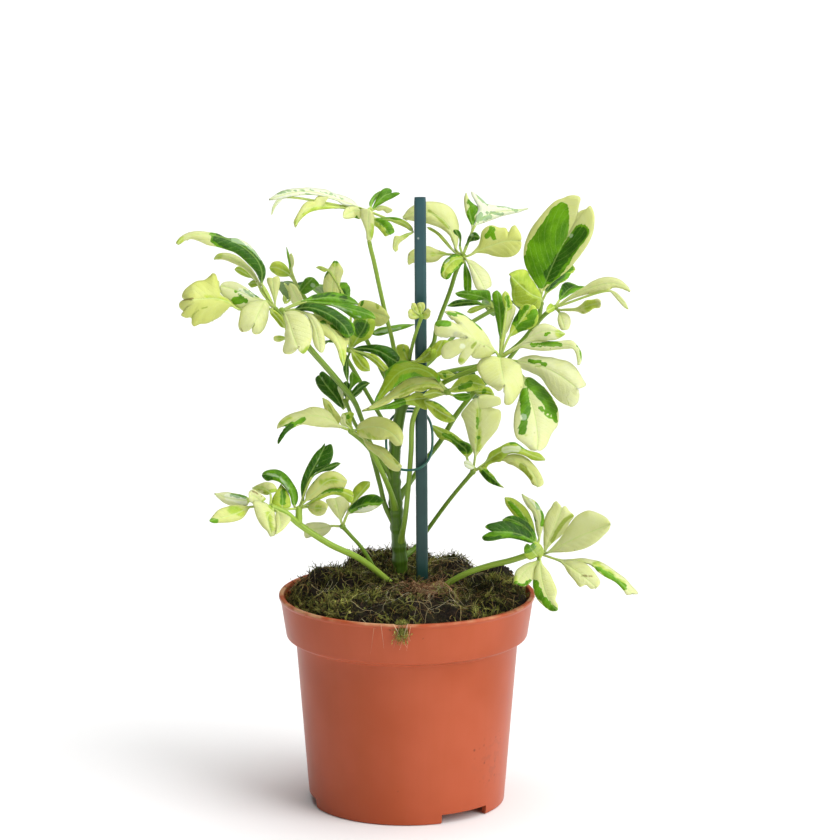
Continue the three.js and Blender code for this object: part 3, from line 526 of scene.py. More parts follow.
      "261,291 256,280 247,268 236,260.5 225,256.5 217,256.5 213.5,259.5",
      "260,283 254,272 245,262 235,255 225,253 217,254.5",
      "258,285 252,277 245,270 237,265 228,261 221,259.5 217,259.5",
      (0, 8), "0.5|l2.5 214,260 221,256", [0, -1, 0.6], 1.5),
    photo(
      "259,286 250,276.5 241,270.5 234.5,269",
      "252,273.5 243,268 238,266.5",
      "254,279 247,277.5 240,274.5 236,271.5",
      (4, 14), "0.5|l", curl=0.5),
    photo(
      "263,286 255,283 248,284",
      "257,279.5 252,280.5",
      "258,286 252,287.5",
      (2, 8), "0.5|l", curl=0.5),
    photo(
      "275,307 274.5,297 273,286 272.5,278",
      "272.5,297 269.5,288 267,281 267.5,278",
      "277,297 279.5,288 280,280 278,276.5",
      (2, 8), "0.5"),
    photo(
      "270.5,309 277,317 282,323 284.5,328",
      "270,313 275,320 281,327",
      "273,309.5 279,314 285,321",
      (-2, -6), "0.5|l|o2.5 274,314 283,325", curl=0.5),
    photo(
      "238,309 228,302 215,298.5 203,299 192,299.5",
      "230,301 222,295 219,290 218.5,282 216,274.5 213,273 209,276.5 205,279.5 197,281.5 190,285.5 "
      "184,291 182,297 185,300",
      "231,306.5 226,310 221,316 215,320 207,323.5 200,324 194,326.5 191.5,324 191,318 186,318 181,315 "
      "184,312 180,308 179.5,304 182,301 187,300",
      (-6, -18),
      "1|l1.2 236,307 222,299 205,296|b0.5 183,300.5 193,298.5"
      "|o0.6 191.5,322 193,315 199,309.5 207,307", [-0.2, -1, 0.4], 4),
    photo(
      "266,302 252,297 238,291 227,287.5 220,286",
      "258,296.5 250,290.5 242,285.5 236,282.5 230,281.5 223,282.5",
      "256,305 248,309 240,309 231,302 223,296 219.5,291",
      (-2, -4),
      "0.1|g4 235,300 241,300|g3 246,301|s3 240,291 252,295|g0.7 235,289 240,291|g0.7 236,292 "
      "243,295|g0.9 244,290 252,296|g0.7 250,291 258,297"),
    photo(
      "266,301 261,308 257,316 254.5,323",
      "256,300.5 247,304 241,309.5 239.5,317 238.5,326 241,331.5 247,331 250.5,328.5",
      "269.5,306 269,313 267,322 263.5,330 259,334 254,334 252,331.5",
      (-3, -17), "0.35|o0.5 251,330 254.5,324.5", [0, -1, 0.4], 2),
  ]],
  ["leaf_left_front", 1.1, 0.35, 158, [
    "398,492 388,473 378,457 369,440 362,420 355,402 343,386 327,367 312,350 296,329 282,310", -15], [
    photo(
      "300,302 315,299 330,297.5 345,299.5 359,304.5",
      "306,299 313,295.5 321,293 330,292 340,293 348,295.5 355,300",
      "308,301.5 318,302 330,303 342,304 352,304.5",
      (-14, -8), "0.5|l|g|d2 315,297 330,295 345,298", [0, -1, 0.8]),
    photo(
      "306,302.5 325,304 342,307 358,311 370,315 376,319",
      "318,301.5 335,303 350,304 361,306.5 369,310.5 374,315",
      "320,304.5 332,306 342,311 351,317 360,319.5 369,318.5",
      (-15, -20), "0.5|l|g|s1.3 332,305 345,310 360,317", [0, -1, 0.8]),
    photo(
      "294,309.5 308,307.5 322,311 335,318 345,327 350.5,337",
      "299,305.5 306,303.5 313,303.5 321,304.5 329,307 337,310.5 344,315 350,320 354,325 355,329 353,334",
      "300,310.5 308,311 315,313 323,318 330,322 336,328 342,334.5 347,338",
      (-16, -30), "0.5|l|g|d7 294,309 310,307 326,312 337,319 347,329", [0, -1, 0.8], 1.5),
    photo(
      "284,312 289,322 293,335 298,348",
      "284.5,319 286,327 284.5,334 285,340 283,347 284,353 289,354 294.5,351.5",
      "293,311 302,313.5 308.5,319.5 311.5,328 312,337 310.5,344 308,349.5 304,354 300.5,353",
      (-16, -38),
      "0.35|b0.8 293.5,329|b0.8 299,347|l2 303,352 308,348"
      "|b0.5 301,312.5 307,317 310.5,323 311.5,327", [0, -1, 0.35], 2),
    photo(
      "300,311.5 310,317 315.5,328 318.5,340 320.5,353",
      "306,315 310,322 312,331 312.5,340 316,348",
      "310,313 318,320 322,328 324.5,338 325,347 323,352",
      (-17, -34), "0.4|b0.8 315,346.5|l1.5 321,353"),
    photo(
      "286,338 280,338.5 273.5,338.5",
      "283,336 277,335.5 274,336.5",
      "283,340.5 278,342 274,340.5",
      (-14, -16), "0.6|l2.5 280,338", curl=0.5),
    photo(
      "303,312 318,321 332,331 339,342 342,354 343.5,367",
      "312,322 319,331 326,336.5 333,342 337,349.5 339.5,358",
      "318,315 332,321 343,331 349,340 347,347 346,357",
      (-16, -40), "0.8|g1.4 322,322.5 332,325.5 341,332 344,336|l2.5 343,368 342,352", [0.6, -1, 0.6]),
  ]],
  ["leaf_left_upper", 1.0, 0.35, 189, [[-9, 14, 199], [-18, 12, 218], [-26, 8, 235]], [
    photo(
      "333,300 332.5,286 334.5,272 335.5,260.5",
      "324,292 323,284 324.5,276 328,269.5 332,264 334,261",
      "339.5,293 340,285 341.5,278 343.5,271 341,265.5 337.5,261.5",
      (8, 14), "0.6|l3.5 335,264|d1.2 334,261 337,261.5|g0.6 324,278 328,269.5"),
    photo(
      "328,270 322,268.5 316,267.5",
      "324,267 319,266",
      "325,272 320,270",
      (12, 14), "0.6|l", curl=0.3),
    photo(
      "356,309 368,311 379,314 390,317.5",
      "360,301 368,300.5 377,303.5 385,309.5",
      "362,320 371,324.5 379,326.5 386,323",
      (6, -2), "0.9|o1.2 376,303 378,308|d0.9 365,296.5 361.5,305"),
    photo(
      "350,349 357,339 364,328 368,317",
      "350,338 351,328 354,320 360,316.5",
      "361,342.5 370,337.5 374.5,329 375,321",
      (2, -10), "0.8|l|g8.5 361,328|d7 361,328"),
      [[-36, 34, 242], 10, 4, 0, UP, "plain", 0.3, "mixed"],
  ]],
  ["leaf_left_back", 1.0, 0.35, 172, [[-17, 22, 189], [-34, 32, 216], [-51, 32, 240]], [
    photo(
      "290.5,276 284,271 276,267.5 269.5,267.5",
      "290,271.5 286,265.5 281,262 276,261.5 272,263",
      "285,277 279,276.5 273,273 270.5,270.5",
      (32, 36), "0.6|l"),
    photo(
      "290.5,270 289,262 288,254 286.5,247",
      "291.5,265 290,256",
      "288.5,263 286.8,254",
      (32, 34), "0.5|g", curl=0.3),
    photo(
      "291.5,270 292.5,262 291,253",
      "294,264 293,256",
      "290.5,262 289.5,256",
      (32, 30), "0.3", curl=0.3),
    photo(
      "300,292 305,286 310,281 313,277.5",
      "299.5,288 302,283 305,278.5 309,277",
      "304,294.5 311,291 317,287 319.5,285 316,280",
      (30, 24), "0.5|l|g|s2.5 313,285|d1.5 303,290 312,288"),
    photo(
      "302,304 297,298 293,290 290,283",
      "292,303 290,295 288,287",
      "303,300 300,292 295,285",
      (24, 18), "0.4", curl=0.5),
    photo(
      "290,297 288,290 284,283",
      "288.5,292 285.5,287",
      "290.5,291 287,285",
      (24, 20), "0.4", curl=0.3),
    photo(
      "285,303 284.5,299 283.5,295",
      "283,301 282.8,297",
      "287,300 285.5,297",
      (20, 18), "0.5|o", curl=0.3),
      [[-56, 70, 228], 15, 6, 0, [0, 0.6, 1], "nicked", 0.3, "dark"],
      [[-38, 64, 229], 13, 5, 0, [0.3, 0.5, 1], "plain", 0.3, "mixed"],
  ]],
  ["leaf_middle_left", 1.0, 0.35, 196, [[-10, 6, 206], [-19, 0, 215], [-27, -3, 218]], [
    photo(
      "352,349.5 366,348.5 380,351.5 391,358 397,362",
      "360,346 372,344.8 386,346.2 395,350.5 400,358.5",
      "360,350.8 370,352.5 379,357 385,363 389,368.5 394,366",
      (-4, -18), "0.5|l|g|d", [0, -1, 0.6]),
    photo(
      "353,350.5 366,354 377,361 386,370.5",
      "368,352.8 376,355.5 384,363 388.5,369",
      "364,354 371,360 378,366.5 383,371.5",
      (-6, -20), "1|l|o1.5 370,356 384,369", curl=0.5),
    photo(
      "351,351 357,358 363,366 370,371",
      "356,352 361,355 366,359 369,364",
      "352,358 356,366 362,371",
      (-6, -18), "1|l|o2.5 356,358 363,366"),
    photo(
      "349.5,352 347,362 346.5,372 348,383",
      "345,360 343,368 345,376",
      "348.5,362 349,372",
      (-2, -12), "0.5|l|g|d", curl=0.3),
    photo(
      "370,334 385,329 400,326 415,324.5",
      "378,328.5 390,326 404,324",
      "378,336 390,333 404,329",
      (10, 16), "0.3|l|g|s1.5 375,333 400,328", curl=0.5),
      [[-41, 24, 214], 10, 4, 0, UP, "plain", 0.3, "dark"],
  ]],
  ["leaf_middle_back", 0.9, 0.35, 153, [[-14, 14, 165], [-24, 20, 177], [-29, 20, 189]], [
    photo(
      "344,409 336,397 327,386 319,375",
      "339,406.5 331,399.5 322,392 316,383 315.5,378",
      "343.5,398 340,390 337,382 329,376 322,371.5",
      (22, 26), "0.3|l|g|d|s1 322,378 330,388"),
    photo(
      "345,405 341,395 338,386",
      "341,397 337.5,388",
      "343.5,395 341,386",
      (20, 22), "0.3|s", curl=0.3),
    photo(
      "346,400 347,390 346,381",
      "343.5,391 342,384",
      "351,392 350,384",
      (20, 18), "0.5|l|g|d", curl=0.5),
    photo(
      "349,399 356,391 362,386 370,383",
      "352,391 358,384 364,381",
      "354,396.5 361,391.5 366,387",
      (20, 26), "0.5|l|g|d", curl=0.5),
    photo(
      "349,392 352,383 352,371.5",
      "350,385 349.5,376",
      "356,384 361,380.5 355,374",
      (18, 16), "0.5|l|g", curl=0.5),
      [[-27, 50, 184], 12, 4, 0, [0, 0.6, 1], "plain", 0.3, "dark"],
  ]],
  ["leaf_middle_front", 1.2, 0.6, 139, [[-8, -3, 151], [-13, -9, 164], [-18, -13, 174], [-26, -15, 182]], [
    photo(
      "345,428 333,421 318,416 303,417 292,421 286,427",
      "338,424 335,419 330,413 325,409.5 318,407.5 311,407.5 304,409.5 296,411.5 288,415 282,419 278,424 "
      "277,429 280,426 284,424",
      "333,428 326,427.5 320,427 312,426 303,424.5 296,426.5 290,430 285,435 281,441 278,444.5 277.5,440 "
      "280,436 284,431",
      (-16, -22),
      "0.5|l1.5 280,424 290,418|d2.5 278,441 284,432 292,426|g2 296,424 304,420", [-0.1, -1, 0.7], 1.5),
    photo(
      "338,425 332,413 322.5,397.5",
      "330,424 326.5,414 323,404",
      "341,419 335,409 329,401",
      (-10, -6), "1|o1.5 328,405 333,416"),
    photo(
      "352,428 347,421 346,416 350,411.5",
      "342,420 341.5,414.5",
      "352,419 354,414",
      (-14, -12), "0.9|l|g2 348,417", curl=0.5),
    photo(
      "349,427 343,424 343,413",
      "340.5,424 341,416",
      "346,423 345.5,416",
      (-16, -14), "0.3", curl=0.3),
    photo(
      "356,430 368,427 382,428 394,435 402,445",
      "359,423 365,419.5 373,417 381,417 389,419.5 396,423 401,429 403.5,437",
      "358,436 364,438 374,440 383,440 388,439 391,442 396,446",
      (-16, -34), "0.8|l1.5 362,431 372,438 386,441|o0.8 385,419 398,425", [0, -1, 0.6], 1.5),
    photo(
      "362,437 370,445 380,452 391,461 401,468.5",
      "372,443 378,445 386,449 392,455.5 398,462 402,466.5",
      "367,447 372,452 380,458.5 386,465.5 393,470.8 399,471",
      (-18, -32), "0.8|o1.2 384,446 392,457 398,464|b1 399,467"),
  ]],
  ["shoot_left", 1.5, 0.95, [-2, -3, 100],
    [[-8, -6, 107], [-22, -16, 121], [-36, -24, 130], [-50, -30, 141], [-56, -33, 147], [-63, -34, 150]], [
    photo(
      "250,507 240,512 228,516 209,521",
      "246,505.5 238,505 228,506 219,510 212,517",
      "247,512 242,518.5 234,521.8 222,523 213,523",
      (-34, -46), "0.7|l4 232,510 240,512|d1.5 209.5,521.5 216,521", [-0.1, -1, 0.6]),
    photo(
      "250,501 240,500 228,498 214,493.5",
      "247,496.5 238,493.8 226,492.3",
      "246,506.5 236,506.8 226,504 218,498",
      (-34, -28), "0.05|s3.5 228,497 247,502|g1.2 232,495 246,498|l0.8 228,494 245,496", [0, -1, 0.6]),
    photo(
      "273,509 268,516 269,526 272,536.5",
      "266,503 258,500.5 253,502 254,508 256.5,517 261,525.5 267,531.5 270,536.5",
      "274.5,512 275.5,520 276,528 275,535",
      (-36, -56), "0.4|b0.5 275,511 275.8,520|l2 268,514 272,530|b0.7 275.5,531.5", curl=1.5),
    photo(
      "277,511 280,518 280,527 276,534.5",
      "275.5,515 276,524 276,531",
      "284,513.5 291,518.5 287,525.5 281,531.5",
      (-36, -58), "0.5"),
    photo(
      "262,502 254,496 249,496.5",
      "266,499 259,493 253,489.5 249,492",
      "262,509 256,508 252,503 249,500",
      (-36, -40), "0.2|b0.7 252,491 258,494"),
    photo(
      "270,493 262,488 252,488",
      "277,491 274,484 266,481.7 258,484.5",
      "268,495 262,494 256,491",
      (-28, -20), "0.5|l1.5 270,494 262,489 254,488|o1 268,494 259,490"),
  ]],
  ["shoot_left", 1.2, 0.95, [-50, -30, 141], [[-50, -29, 145], [-50, -28, 148]], [
    photo(
      "283,508.5 283,500 282,492 281,484",
      "272,505.5 272.5,499 276.5,491",
      "290.5,507 290,499 287,490.5",
      (-30, -20), "0.8|l|g2 283,492 283,505", curl=0.5),
    photo(
      "295,507 293,496 289,486 281,478 272,474.5 262,474.5",
      "297.8,500 296.5,490 292,481.5 285,473.5 277,469.3 269,469.3 263.5,472.5",
      "292,504 290,496 286,489 280,483 273,480.3 267,481 262.5,477.5",
      (-28, -16),
      "0.8|l|g|d1.5 296.5,500 294,488 287,478 279,471 270,471|d3 263,475 270,479|s1.2 267,474 280,477 "
      "288,489", [0.2, -0.8, 1]),
    photo(
      "302.5,502 305,488 311,473 317,462 325,446",
      "301,494 301,483 305,471 310.5,460 316,452 321,447.5 325,443",
      "305.5,491 310,480 316,472.5 325,469.5 330,463.5 333.2,455 333,448.5 331,444",
      (-28, -22), "0.1|l|g|d|s0.5 317,466 321,450", curl=0),
    photo(
      "312,477 320,471 330,467 341,463.3",
      "322,468.5 331,463.5 337,462",
      "322,472 331,470.5 338,466",
      (-27, -24), "0.1|l|g|d", curl=0),
    photo(
      "305,501 315,492 330,480 347,482",
      "307,491 315,480.5 324,473 334,471 342,474.5 347.5,481",
      "312,500 322,493 334,488.3 344,488.3",
      (-30, -36), "0.8|g0.6 311,484 317,478|l3 322,482 336,480", curl=1.5),
    photo(
      "306,505 315,499 328,492 342,492 354,497",
      "312,499.5 321,492 331,487.8 343,488 352,491",
      "314,503.5 322,498.5 332,495 343,497 351,503",
      (-28, -40), "0.9|l|g1.7 323,492 332,489.5 341,491", [0, -1, 0.6]),
    photo(
      "307,507 315,508 327,509",
      "312,502 320,500 328,505",
      "310,512 318,516 324,514",
      (-28, -38), "0.8|l3 318,508"),
  ]],
  ["leaf_low_left", 0.9, 0.3, [-9, 3, 97],
    [[-15, -2, 112], [-21, -8, 124], [-27, -12, 132], [-30, -14, 136]], [
    photo(
      "341,521 338,510 335,498",
      "335,515 330,508 326,500",
      "345,513 349.5,506 344,496.5",
      (-14, -12), "0.3|l1.5 336,506"),
    photo(
      "347,515 356,507.5 367,504 382,503.5",
      "350,507 359,498.3 368,494.5 377,495.3 383.5,500.5",
      "353,513 363,513 371,511 378,507",
      (-16, -24), "0.1|d4 352,506 366,499 380,499|s2 360,510 374,508", [0, -1, 0.6]),
    photo(
      "350,508 358,496 370,481.5",
      "352,497 354,488 362,481.5",
      "358,499 365,492 370,486",
      (-12, -8), "1|l"),
    photo(
      "332,526 320,528 304,531",
      "324,522.8 312,522.3 305,524.5",
      "329,532 321,537 313,536.5 306,538",
      (-12, -4), "0.15|l1 312,538 320,537"),
  ]],
  ["leaf_middle_right", 1.2, 0.35, 143,
    [[4, 12, 155], [10, 14, 163], [16, 14, 171], [23, 14, 183], [32, 14, 195]], [
    photo(
      "476,392 485,391.5 494,394",
      "482,387.8 490,388",
      "480,395 488,396.5 494,397.5",
      (12, 10), "1|l|g2.5 484,391|o1.5 490,394"),
    photo(
      "477,394 487,398 498,402",
      "485,394.5 495,396 500,400",
      "484,398.5 491,403.5 497,404",
      (12, 4), "0.5"),
      [[24, 28, 201], 11, 3, 0, UP, "plain", 0.3, "dark"],
      [[50, 44, 193], 14, 4, 0, UP, "nicked", 0.3, "mixed"],
      [[35, 52, 182], 12, 4, 0, [0, 0.6, 1], "plain", 0.3, "dark"],
  ]],
  ["leaf_low_right", 1.0, 0.35, 115, [[4, 10, 120], [10, 10, 129], [20, 6, 144], [31, 0, 159]], [
    photo(
      "475,458 477,440 478,424 479,410 477,398",
      "472,448 467,432 464,421 461,414.5 466,407 472,400",
      "482,448 491,437.5 498,428 501,416 500,410.5 493,408 487.5,404.5 495,404.8 500.5,404.5 500,398 "
      "494,396 484,395",
      (0, -4), "0.4|g1 478,418 478,428|g0.9 478,437|l2 479,410 478,450", curl=1.5),
    photo(
      "475,468 470,465 464,462.5",
      "470,461.3 465,460.8",
      "471,469.5 465,466.5",
      (-2, -6), "0|s", curl=0.3),
    photo(
      "480,468 488,474 496,481 504,488",
      "485,466 489,471 494,476 498.5,483",
      "479,471 484,478 490,483 497,486",
      (-2, -14), "0.3|l|d2.5 482,473 496,484"),
    photo(
      "484,464 494,456 508,449 522,451 534,456 546,460",
      "487,459 490,453 496,448.5 503,445 509,442.5 515,442 520,445 525,449 532,451.5 540,454",
      "486,468 489,465 494,462 500,462 504,458 508,454.5 515,453.5 525,456 532,460 540,461",
      (-2, -16),
      "0.6|l|s3 504,450 518,449|o3 494,459 500,456|d0.7 511,442.5 518,443.5 527,450", [0, -1, 0.8]),
    photo(
      "486,465 500,459 514,459.5 526,466 535,477 538.5,487.5",
      "506,455.5 517,454.5 529,459 537,468.5 542,477 543.3,484",
      "503,461 508,464 514,466 520,470 524,473 530,480 532,484",
      (-2, -22), "0.6|o3 522,466 530,478|b0.6 520,460 527,468 530,476 533,485", [0, -1, 0.6]),
    photo(
      "467,458 466,450 458,443 448,436 438,430 430,424.5",
      "473,451 470,444 463,441 455,434.5 446,429.5 437,426",
      "460,451.5 455,446 447,440.5 439,438.5 434,432",
      (4, 12), "0.4|l|g2.5 462,446 450,437|d4 466,449 463,447|d1.5 456,441 444,434"),
  ]],
  ["shoot_right", 1.4, 0.9, [10, -12, 99],
    [[16, -14, 106], [27, -18, 114], [39, -21, 119], [49, -23, 122], [60, -24, 126]], [
    photo(
      "534,543 524,536 511,532.5 494,531.7",
      "531,533.5 524,527 515,522.5 503,521.3 495,522.3 488,524 485,526.8 489,530",
      "528,542.5 520,540 511,538.5 502,539 492,541 484,540.5 482,537.5 487,533.5",
      (-28, -34), "0.3|l|g|d5 528,533 510,527 492,526|d2 526,541 505,538 486,538.5", [-0.2, -0.9, 0.8]),
    photo(
      "535,543 529,531 520,523.5 509,519 502,520",
      "535.5,534 531,526 524,520 515,515.7 507,516.8",
      "531,536 525,529 517,525 508,522.5",
      (-24, -22), "0.3|l|g|d3 508,518 520,520 531,530", [0, -1, 0.6]),
    photo(
      "536,540 528,523 519,509 504.5,497",
      "534,526 528,511 521,503 514,498.5",
      "530,532 520,522 511,512 505,503",
      (-22, -12), "0.5|l|g2.5 510,503 526,522"),
    photo(
      "539,540 540,528 538,515 532,504 521.5,493.5",
      "543,528 544,516 541,508 535,501 527,497",
      "536,530 534.5,520 532,512 527,507 523,499",
      (-22, -16), "0.2|g1.2 527,508 534,520|d0.7 535,502 543,515 542,525|s1.5 530,500 540,510"),
    photo(
      "544,552 549,540 556,524 562,508",
      "543.5,535 544,522 547,513 551,507 554,502 557,501",
      "553,543 562,535 570,522 574,516 569,511 565,506",
      (-24, -18), "0.4|o2 552,541 558,530 565,520 573,515|b0.6 558,502"),
    photo(
      "546,553 560,546 578,537 596,530 611,524",
      "553,546 561,537 570,524 578,515 588,510.8 598,512.3 606.5,517.5",
      "558,552.5 572,551.5 585,548.5 596,542.5 604,535 609,529",
      (-26, -34), "0.3", [0.5, -0.8, 1], 2),
    photo(
      "538,560 530,567 522,575 517,584",
      "530,562.5 522,566 516.5,570 514,578 513.5,583.5",
      "537,566 535,573 533,579 529,584 523,586.5",
      (-30, -48), "0.4|g1.6 516,584 524,585 530,581|l1.5 515,578 516,583"),
    photo(
      "540,560 541,573 544,588 549,600 557.5,611",
      "536,567 533,578 533,588 537,599 545,607 551,611",
      "543,565 549,572 554,582 557,592 555.5,600 558,606",
      (-32, -60), "0.4|g3.5 535,584 539,594 546,603 554,610"),
    photo(
      "560,561 572,568 584,577 597,588",
      "572,560 585,563 594,572 600,582",
      "564,566 568,573 574,580 580,587 586,585 591,589",
      (-28, -46), "0.3|b0.8 582,576 592,577", [0.3, -0.8, 0.8]),
    photo(
      "560,560 578,560.5 596,566 612,575 625,587 632,594",
      "572,559 586,558.7 598,561 611,567.5 622,576 632,586.5 638,594",
      "575,562.5 590,564.5 598,572 606,577.5 616,583 623,590 627,595",
      (-27, -36), "0.2|l4 596,566 608,574 620,584|g2 598,569 612,577 624,588", [0.3, -0.7, 1]),
    photo(
      "538,556 534,552 530,546",
      "530,560 525,555 524,548 527,543.5",
      "540,559 543.5,553 542,546 536,542",
      (-28, -50), "0.4|l|g3.5 527,550 532,546"),
  ]],
]

# Colour patches of the other leaflets: level, the middle's place across (-1 to 1) and along (0 to 1), and how
# far they reach across and along.
WHOLE = (0, 0.5, 3, 3)
PATTERNS = {
    "mixed": [("l", *WHOLE), ("g", *WHOLE), ("d", -0.3, 0.5, 0.6, 0.3)],
    "dark": [("l", *WHOLE), ("g", *WHOLE), ("d", *WHOLE)],
    "edged": [("l", *WHOLE), ("g", 0, 0.5, 0.86, 0.52), ("d", 0, 0.45, 0.66, 0.46)],
}


def unit(v):
    v = np.asarray(v, dtype=float)
    return v / np.maximum(np.linalg.norm(v, axis=-1, keepdims=True), 1e-9)


def smooth(low, high, value):
    x = np.clip((value - low) / (high - low), 0, 1)
    return x * x * (3 - 2 * x)


def waves(rng, x, length, count=4):
    """A smooth random curve over x, about -1 to 1, whose bends are about this long."""
    total = np.zeros_like(x, dtype=float)
    for k in range(count):
        total += np.sin(2 * np.pi * x * (0.6 + 0.5 * k) / length + rng.uniform(0, 6.3)) / (1 + k * 0.5)
    return total / 2


def linked(name, data):
    """A new object in the scene."""
    made = bpy.data.objects.new(name, data)
    bpy.context.scene.collection.objects.link(made)
    return made


def turned_away(made, direction):
    """Turn a lamp or the camera so that its back faces a direction."""
    made.rotation_mode = "QUATERNION"
    made.rotation_quaternion = Vector(direction).to_track_quat("Z", "Y")


class Piece:
    """A mesh in the making: points in millimetres on the pot's axis, faces and point attributes."""

    def __init__(self, name, *attributes):
        self.name = name
        self.points = []
        self.faces = []
        self.values = {label: [] for label in attributes}
        self.count = 0

    def add(self, points, faces, **values):
        points = np.asarray(points, dtype=float).reshape(-1, 3)
        for group in faces:
            self.faces.extend((np.asarray(group) + self.count).tolist())
        self.points.append(points)
        self.count += len(points)
        for label, stored in self.values.items():
            stored.append(np.broadcast_to(np.asarray(values[label], dtype=float), points.shape))

    def make(self, material, slot, *nodes, flat=False):
        mesh = bpy.data.meshes.new(self.name)
        metres = np.concatenate(self.points) * MM + AXIS
        mesh.from_pydata(metres.tolist(), [], self.faces)
        for label, stored in self.values.items():
            layer = mesh.attributes.new(label, "FLOAT_VECTOR", "POINT")
            layer.data.foreach_set("vector", np.concatenate(stored).astype(np.float32).ravel())
        mesh.polygons.foreach_set("use_smooth", [not flat] * len(mesh.polygons))
        mesh.materials.append(material)
        mesh.validate()
        mesh.update()
        made = linked(self.name, mesh)
        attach(made, "root")
        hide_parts(*nodes)
        return made


def grid_faces(rows, columns, first=0, closed=False, turned=False):
    """Quads of a grid of points; closed joins the last column to the first."""
    i = np.arange(rows - 1)[:, None] * columns
    j = np.arange(columns if closed else columns - 1)[None, :]
    k = (j + 1) % columns
    quads = np.stack([i + j, i + k, i + columns + k, i + columns + j], axis=-1).reshape(-1, 4) + first
    return quads[:, ::-1] if turned else quads


def fan(rim, middle, turned=False):
    """Triangles from a closed row of points to one point."""
    rim = np.asarray(rim)
    tris = np.stack([rim, np.roll(rim, -1), np.full(len(rim), middle)], axis=-1)
    return tris[:, ::-1] if turned else tris


def capped(rows, columns, turned=False):
    """Faces of a closed tube of rows, whose ends are fans to the two points that follow its own."""
    count = rows * columns
    return [
        grid_faces(rows, columns, closed=True, turned=turned),
        fan(np.arange(columns), count, turned=not turned),
        fan(np.arange(count - columns, count), count + 1, turned=turned),
    ]


# Curves.


def catmull(points, samples):
    """A centripetal Catmull-Rom curve through the points, sampled at even lengths."""
    p = [np.asarray(q, dtype=float) for q in points]
    p = [2 * p[0] - p[1], *p, 2 * p[-1] - p[-2]]
    dense = []
    for a, b, c, d in zip(p, p[1:], p[2:], p[3:]):
        da, db, dc = (max(np.linalg.norm(v), 1e-3) ** 0.5 for v in (b - a, c - b, d - c))
        m = ((b - a) / da - (c - a) / (da + db) + (c - b) / db) * db
        n = ((c - b) / db - (d - b) / (db + dc) + (d - c) / dc) * db
        t = np.linspace(0, 1, 24, endpoint=False)[:, None]
        dense.append(b + m * t + (3 * (c - b) - 2 * m - n) * t**2 + (2 * (b - c) + m + n) * t**3)
    dense = np.concatenate([*dense, p[-2][None]])
    return evenly(dense, samples)


def evenly(path, samples):
    steps = np.concatenate([[0], np.cumsum(np.linalg.norm(np.diff(path, axis=0), axis=1))])
    wanted = np.linspace(0, steps[-1], samples)
    return np.stack([np.interp(wanted, steps, path[:, i]) for i in range(path.shape[1])], axis=-1)


def frames_along(path):
    """Tangents and two cross directions that turn as little as possible along a path."""
    tangents = unit(np.gradient(path, axis=0))
    start = np.cross(tangents[0], [0, 1, 0] if abs(tangents[0][1]) < 0.9 else [1, 0, 0])
    normals = [unit(start)]
    for t in tangents[1:]:
        n = normals[-1] - t * np.dot(normals[-1], t)
        normals.append(unit(n))
    normals = np.array(normals)
    return tangents, normals, np.cross(tangents, normals)


def tube(path, radii, sides):
    """Points and faces of a closed tube; radii is one number a point, or one a point and side."""
    _, n, b = frames_along(path)
    radii = np.asarray(radii, dtype=float)
    radii = radii[:, None] * np.ones(sides) if radii.ndim == 1 else radii
    turn = np.linspace(0, 2 * np.pi, sides, endpoint=False)
    ring = n[:, None] * np.cos(turn)[None, :, None] + b[:, None] * np.sin(turn)[None, :, None]
    points = (path[:, None] + ring * radii[..., None]).reshape(-1, 3)
    return np.concatenate([points, path[:1], path[-1:]]), capped(len(path), sides)


STEM_LINE = catmull(STEM_PATH, 240)


def stem_at(z):
    return STEM_LINE[np.argmin(np.abs(STEM_LINE[:, 2] - z))]


# The photograph's view: where a spot of the picture lies in space at a given depth, and back.

AHEAD = unit(CAMERA_TO - CAMERA_FROM)
RIGHT = np.array([1.0, 0.0, 0.0])
ABOVE = np.cross(RIGHT, AHEAD)
FOCAL = PICTURE * LENS / SENSOR


def spots(text):
    """Points of the photograph, written as "across,down across,down" in pixels."""
    return np.array([[float(part) for part in spot.split(",")] for spot in text.split()])


def sights(where):
    """Directions from the camera through spots of the picture."""
    across = (where[:, :1] - PICTURE / 2) / FOCAL
    above = (PICTURE / 2 - where[:, 1:2]) / FOCAL
    return AHEAD + across * RIGHT + above * ABOVE


def placed(where, depth):
    """The points behind spots of the picture that have the given depth, their Y."""
    sight = sights(where)
    return CAMERA_FROM + sight * ((depth - CAMERA_FROM[1]) / sight[:, 1])[:, None]


def seen(points):
    """Where points lie in the picture."""
    reach = points - CAMERA_FROM
    far = reach @ AHEAD
    across, down = FOCAL * (reach @ RIGHT) / far, -FOCAL * (reach @ ABOVE) / far
    return np.stack([PICTURE / 2 + across, PICTURE / 2 + down], axis=-1)


# Materials.


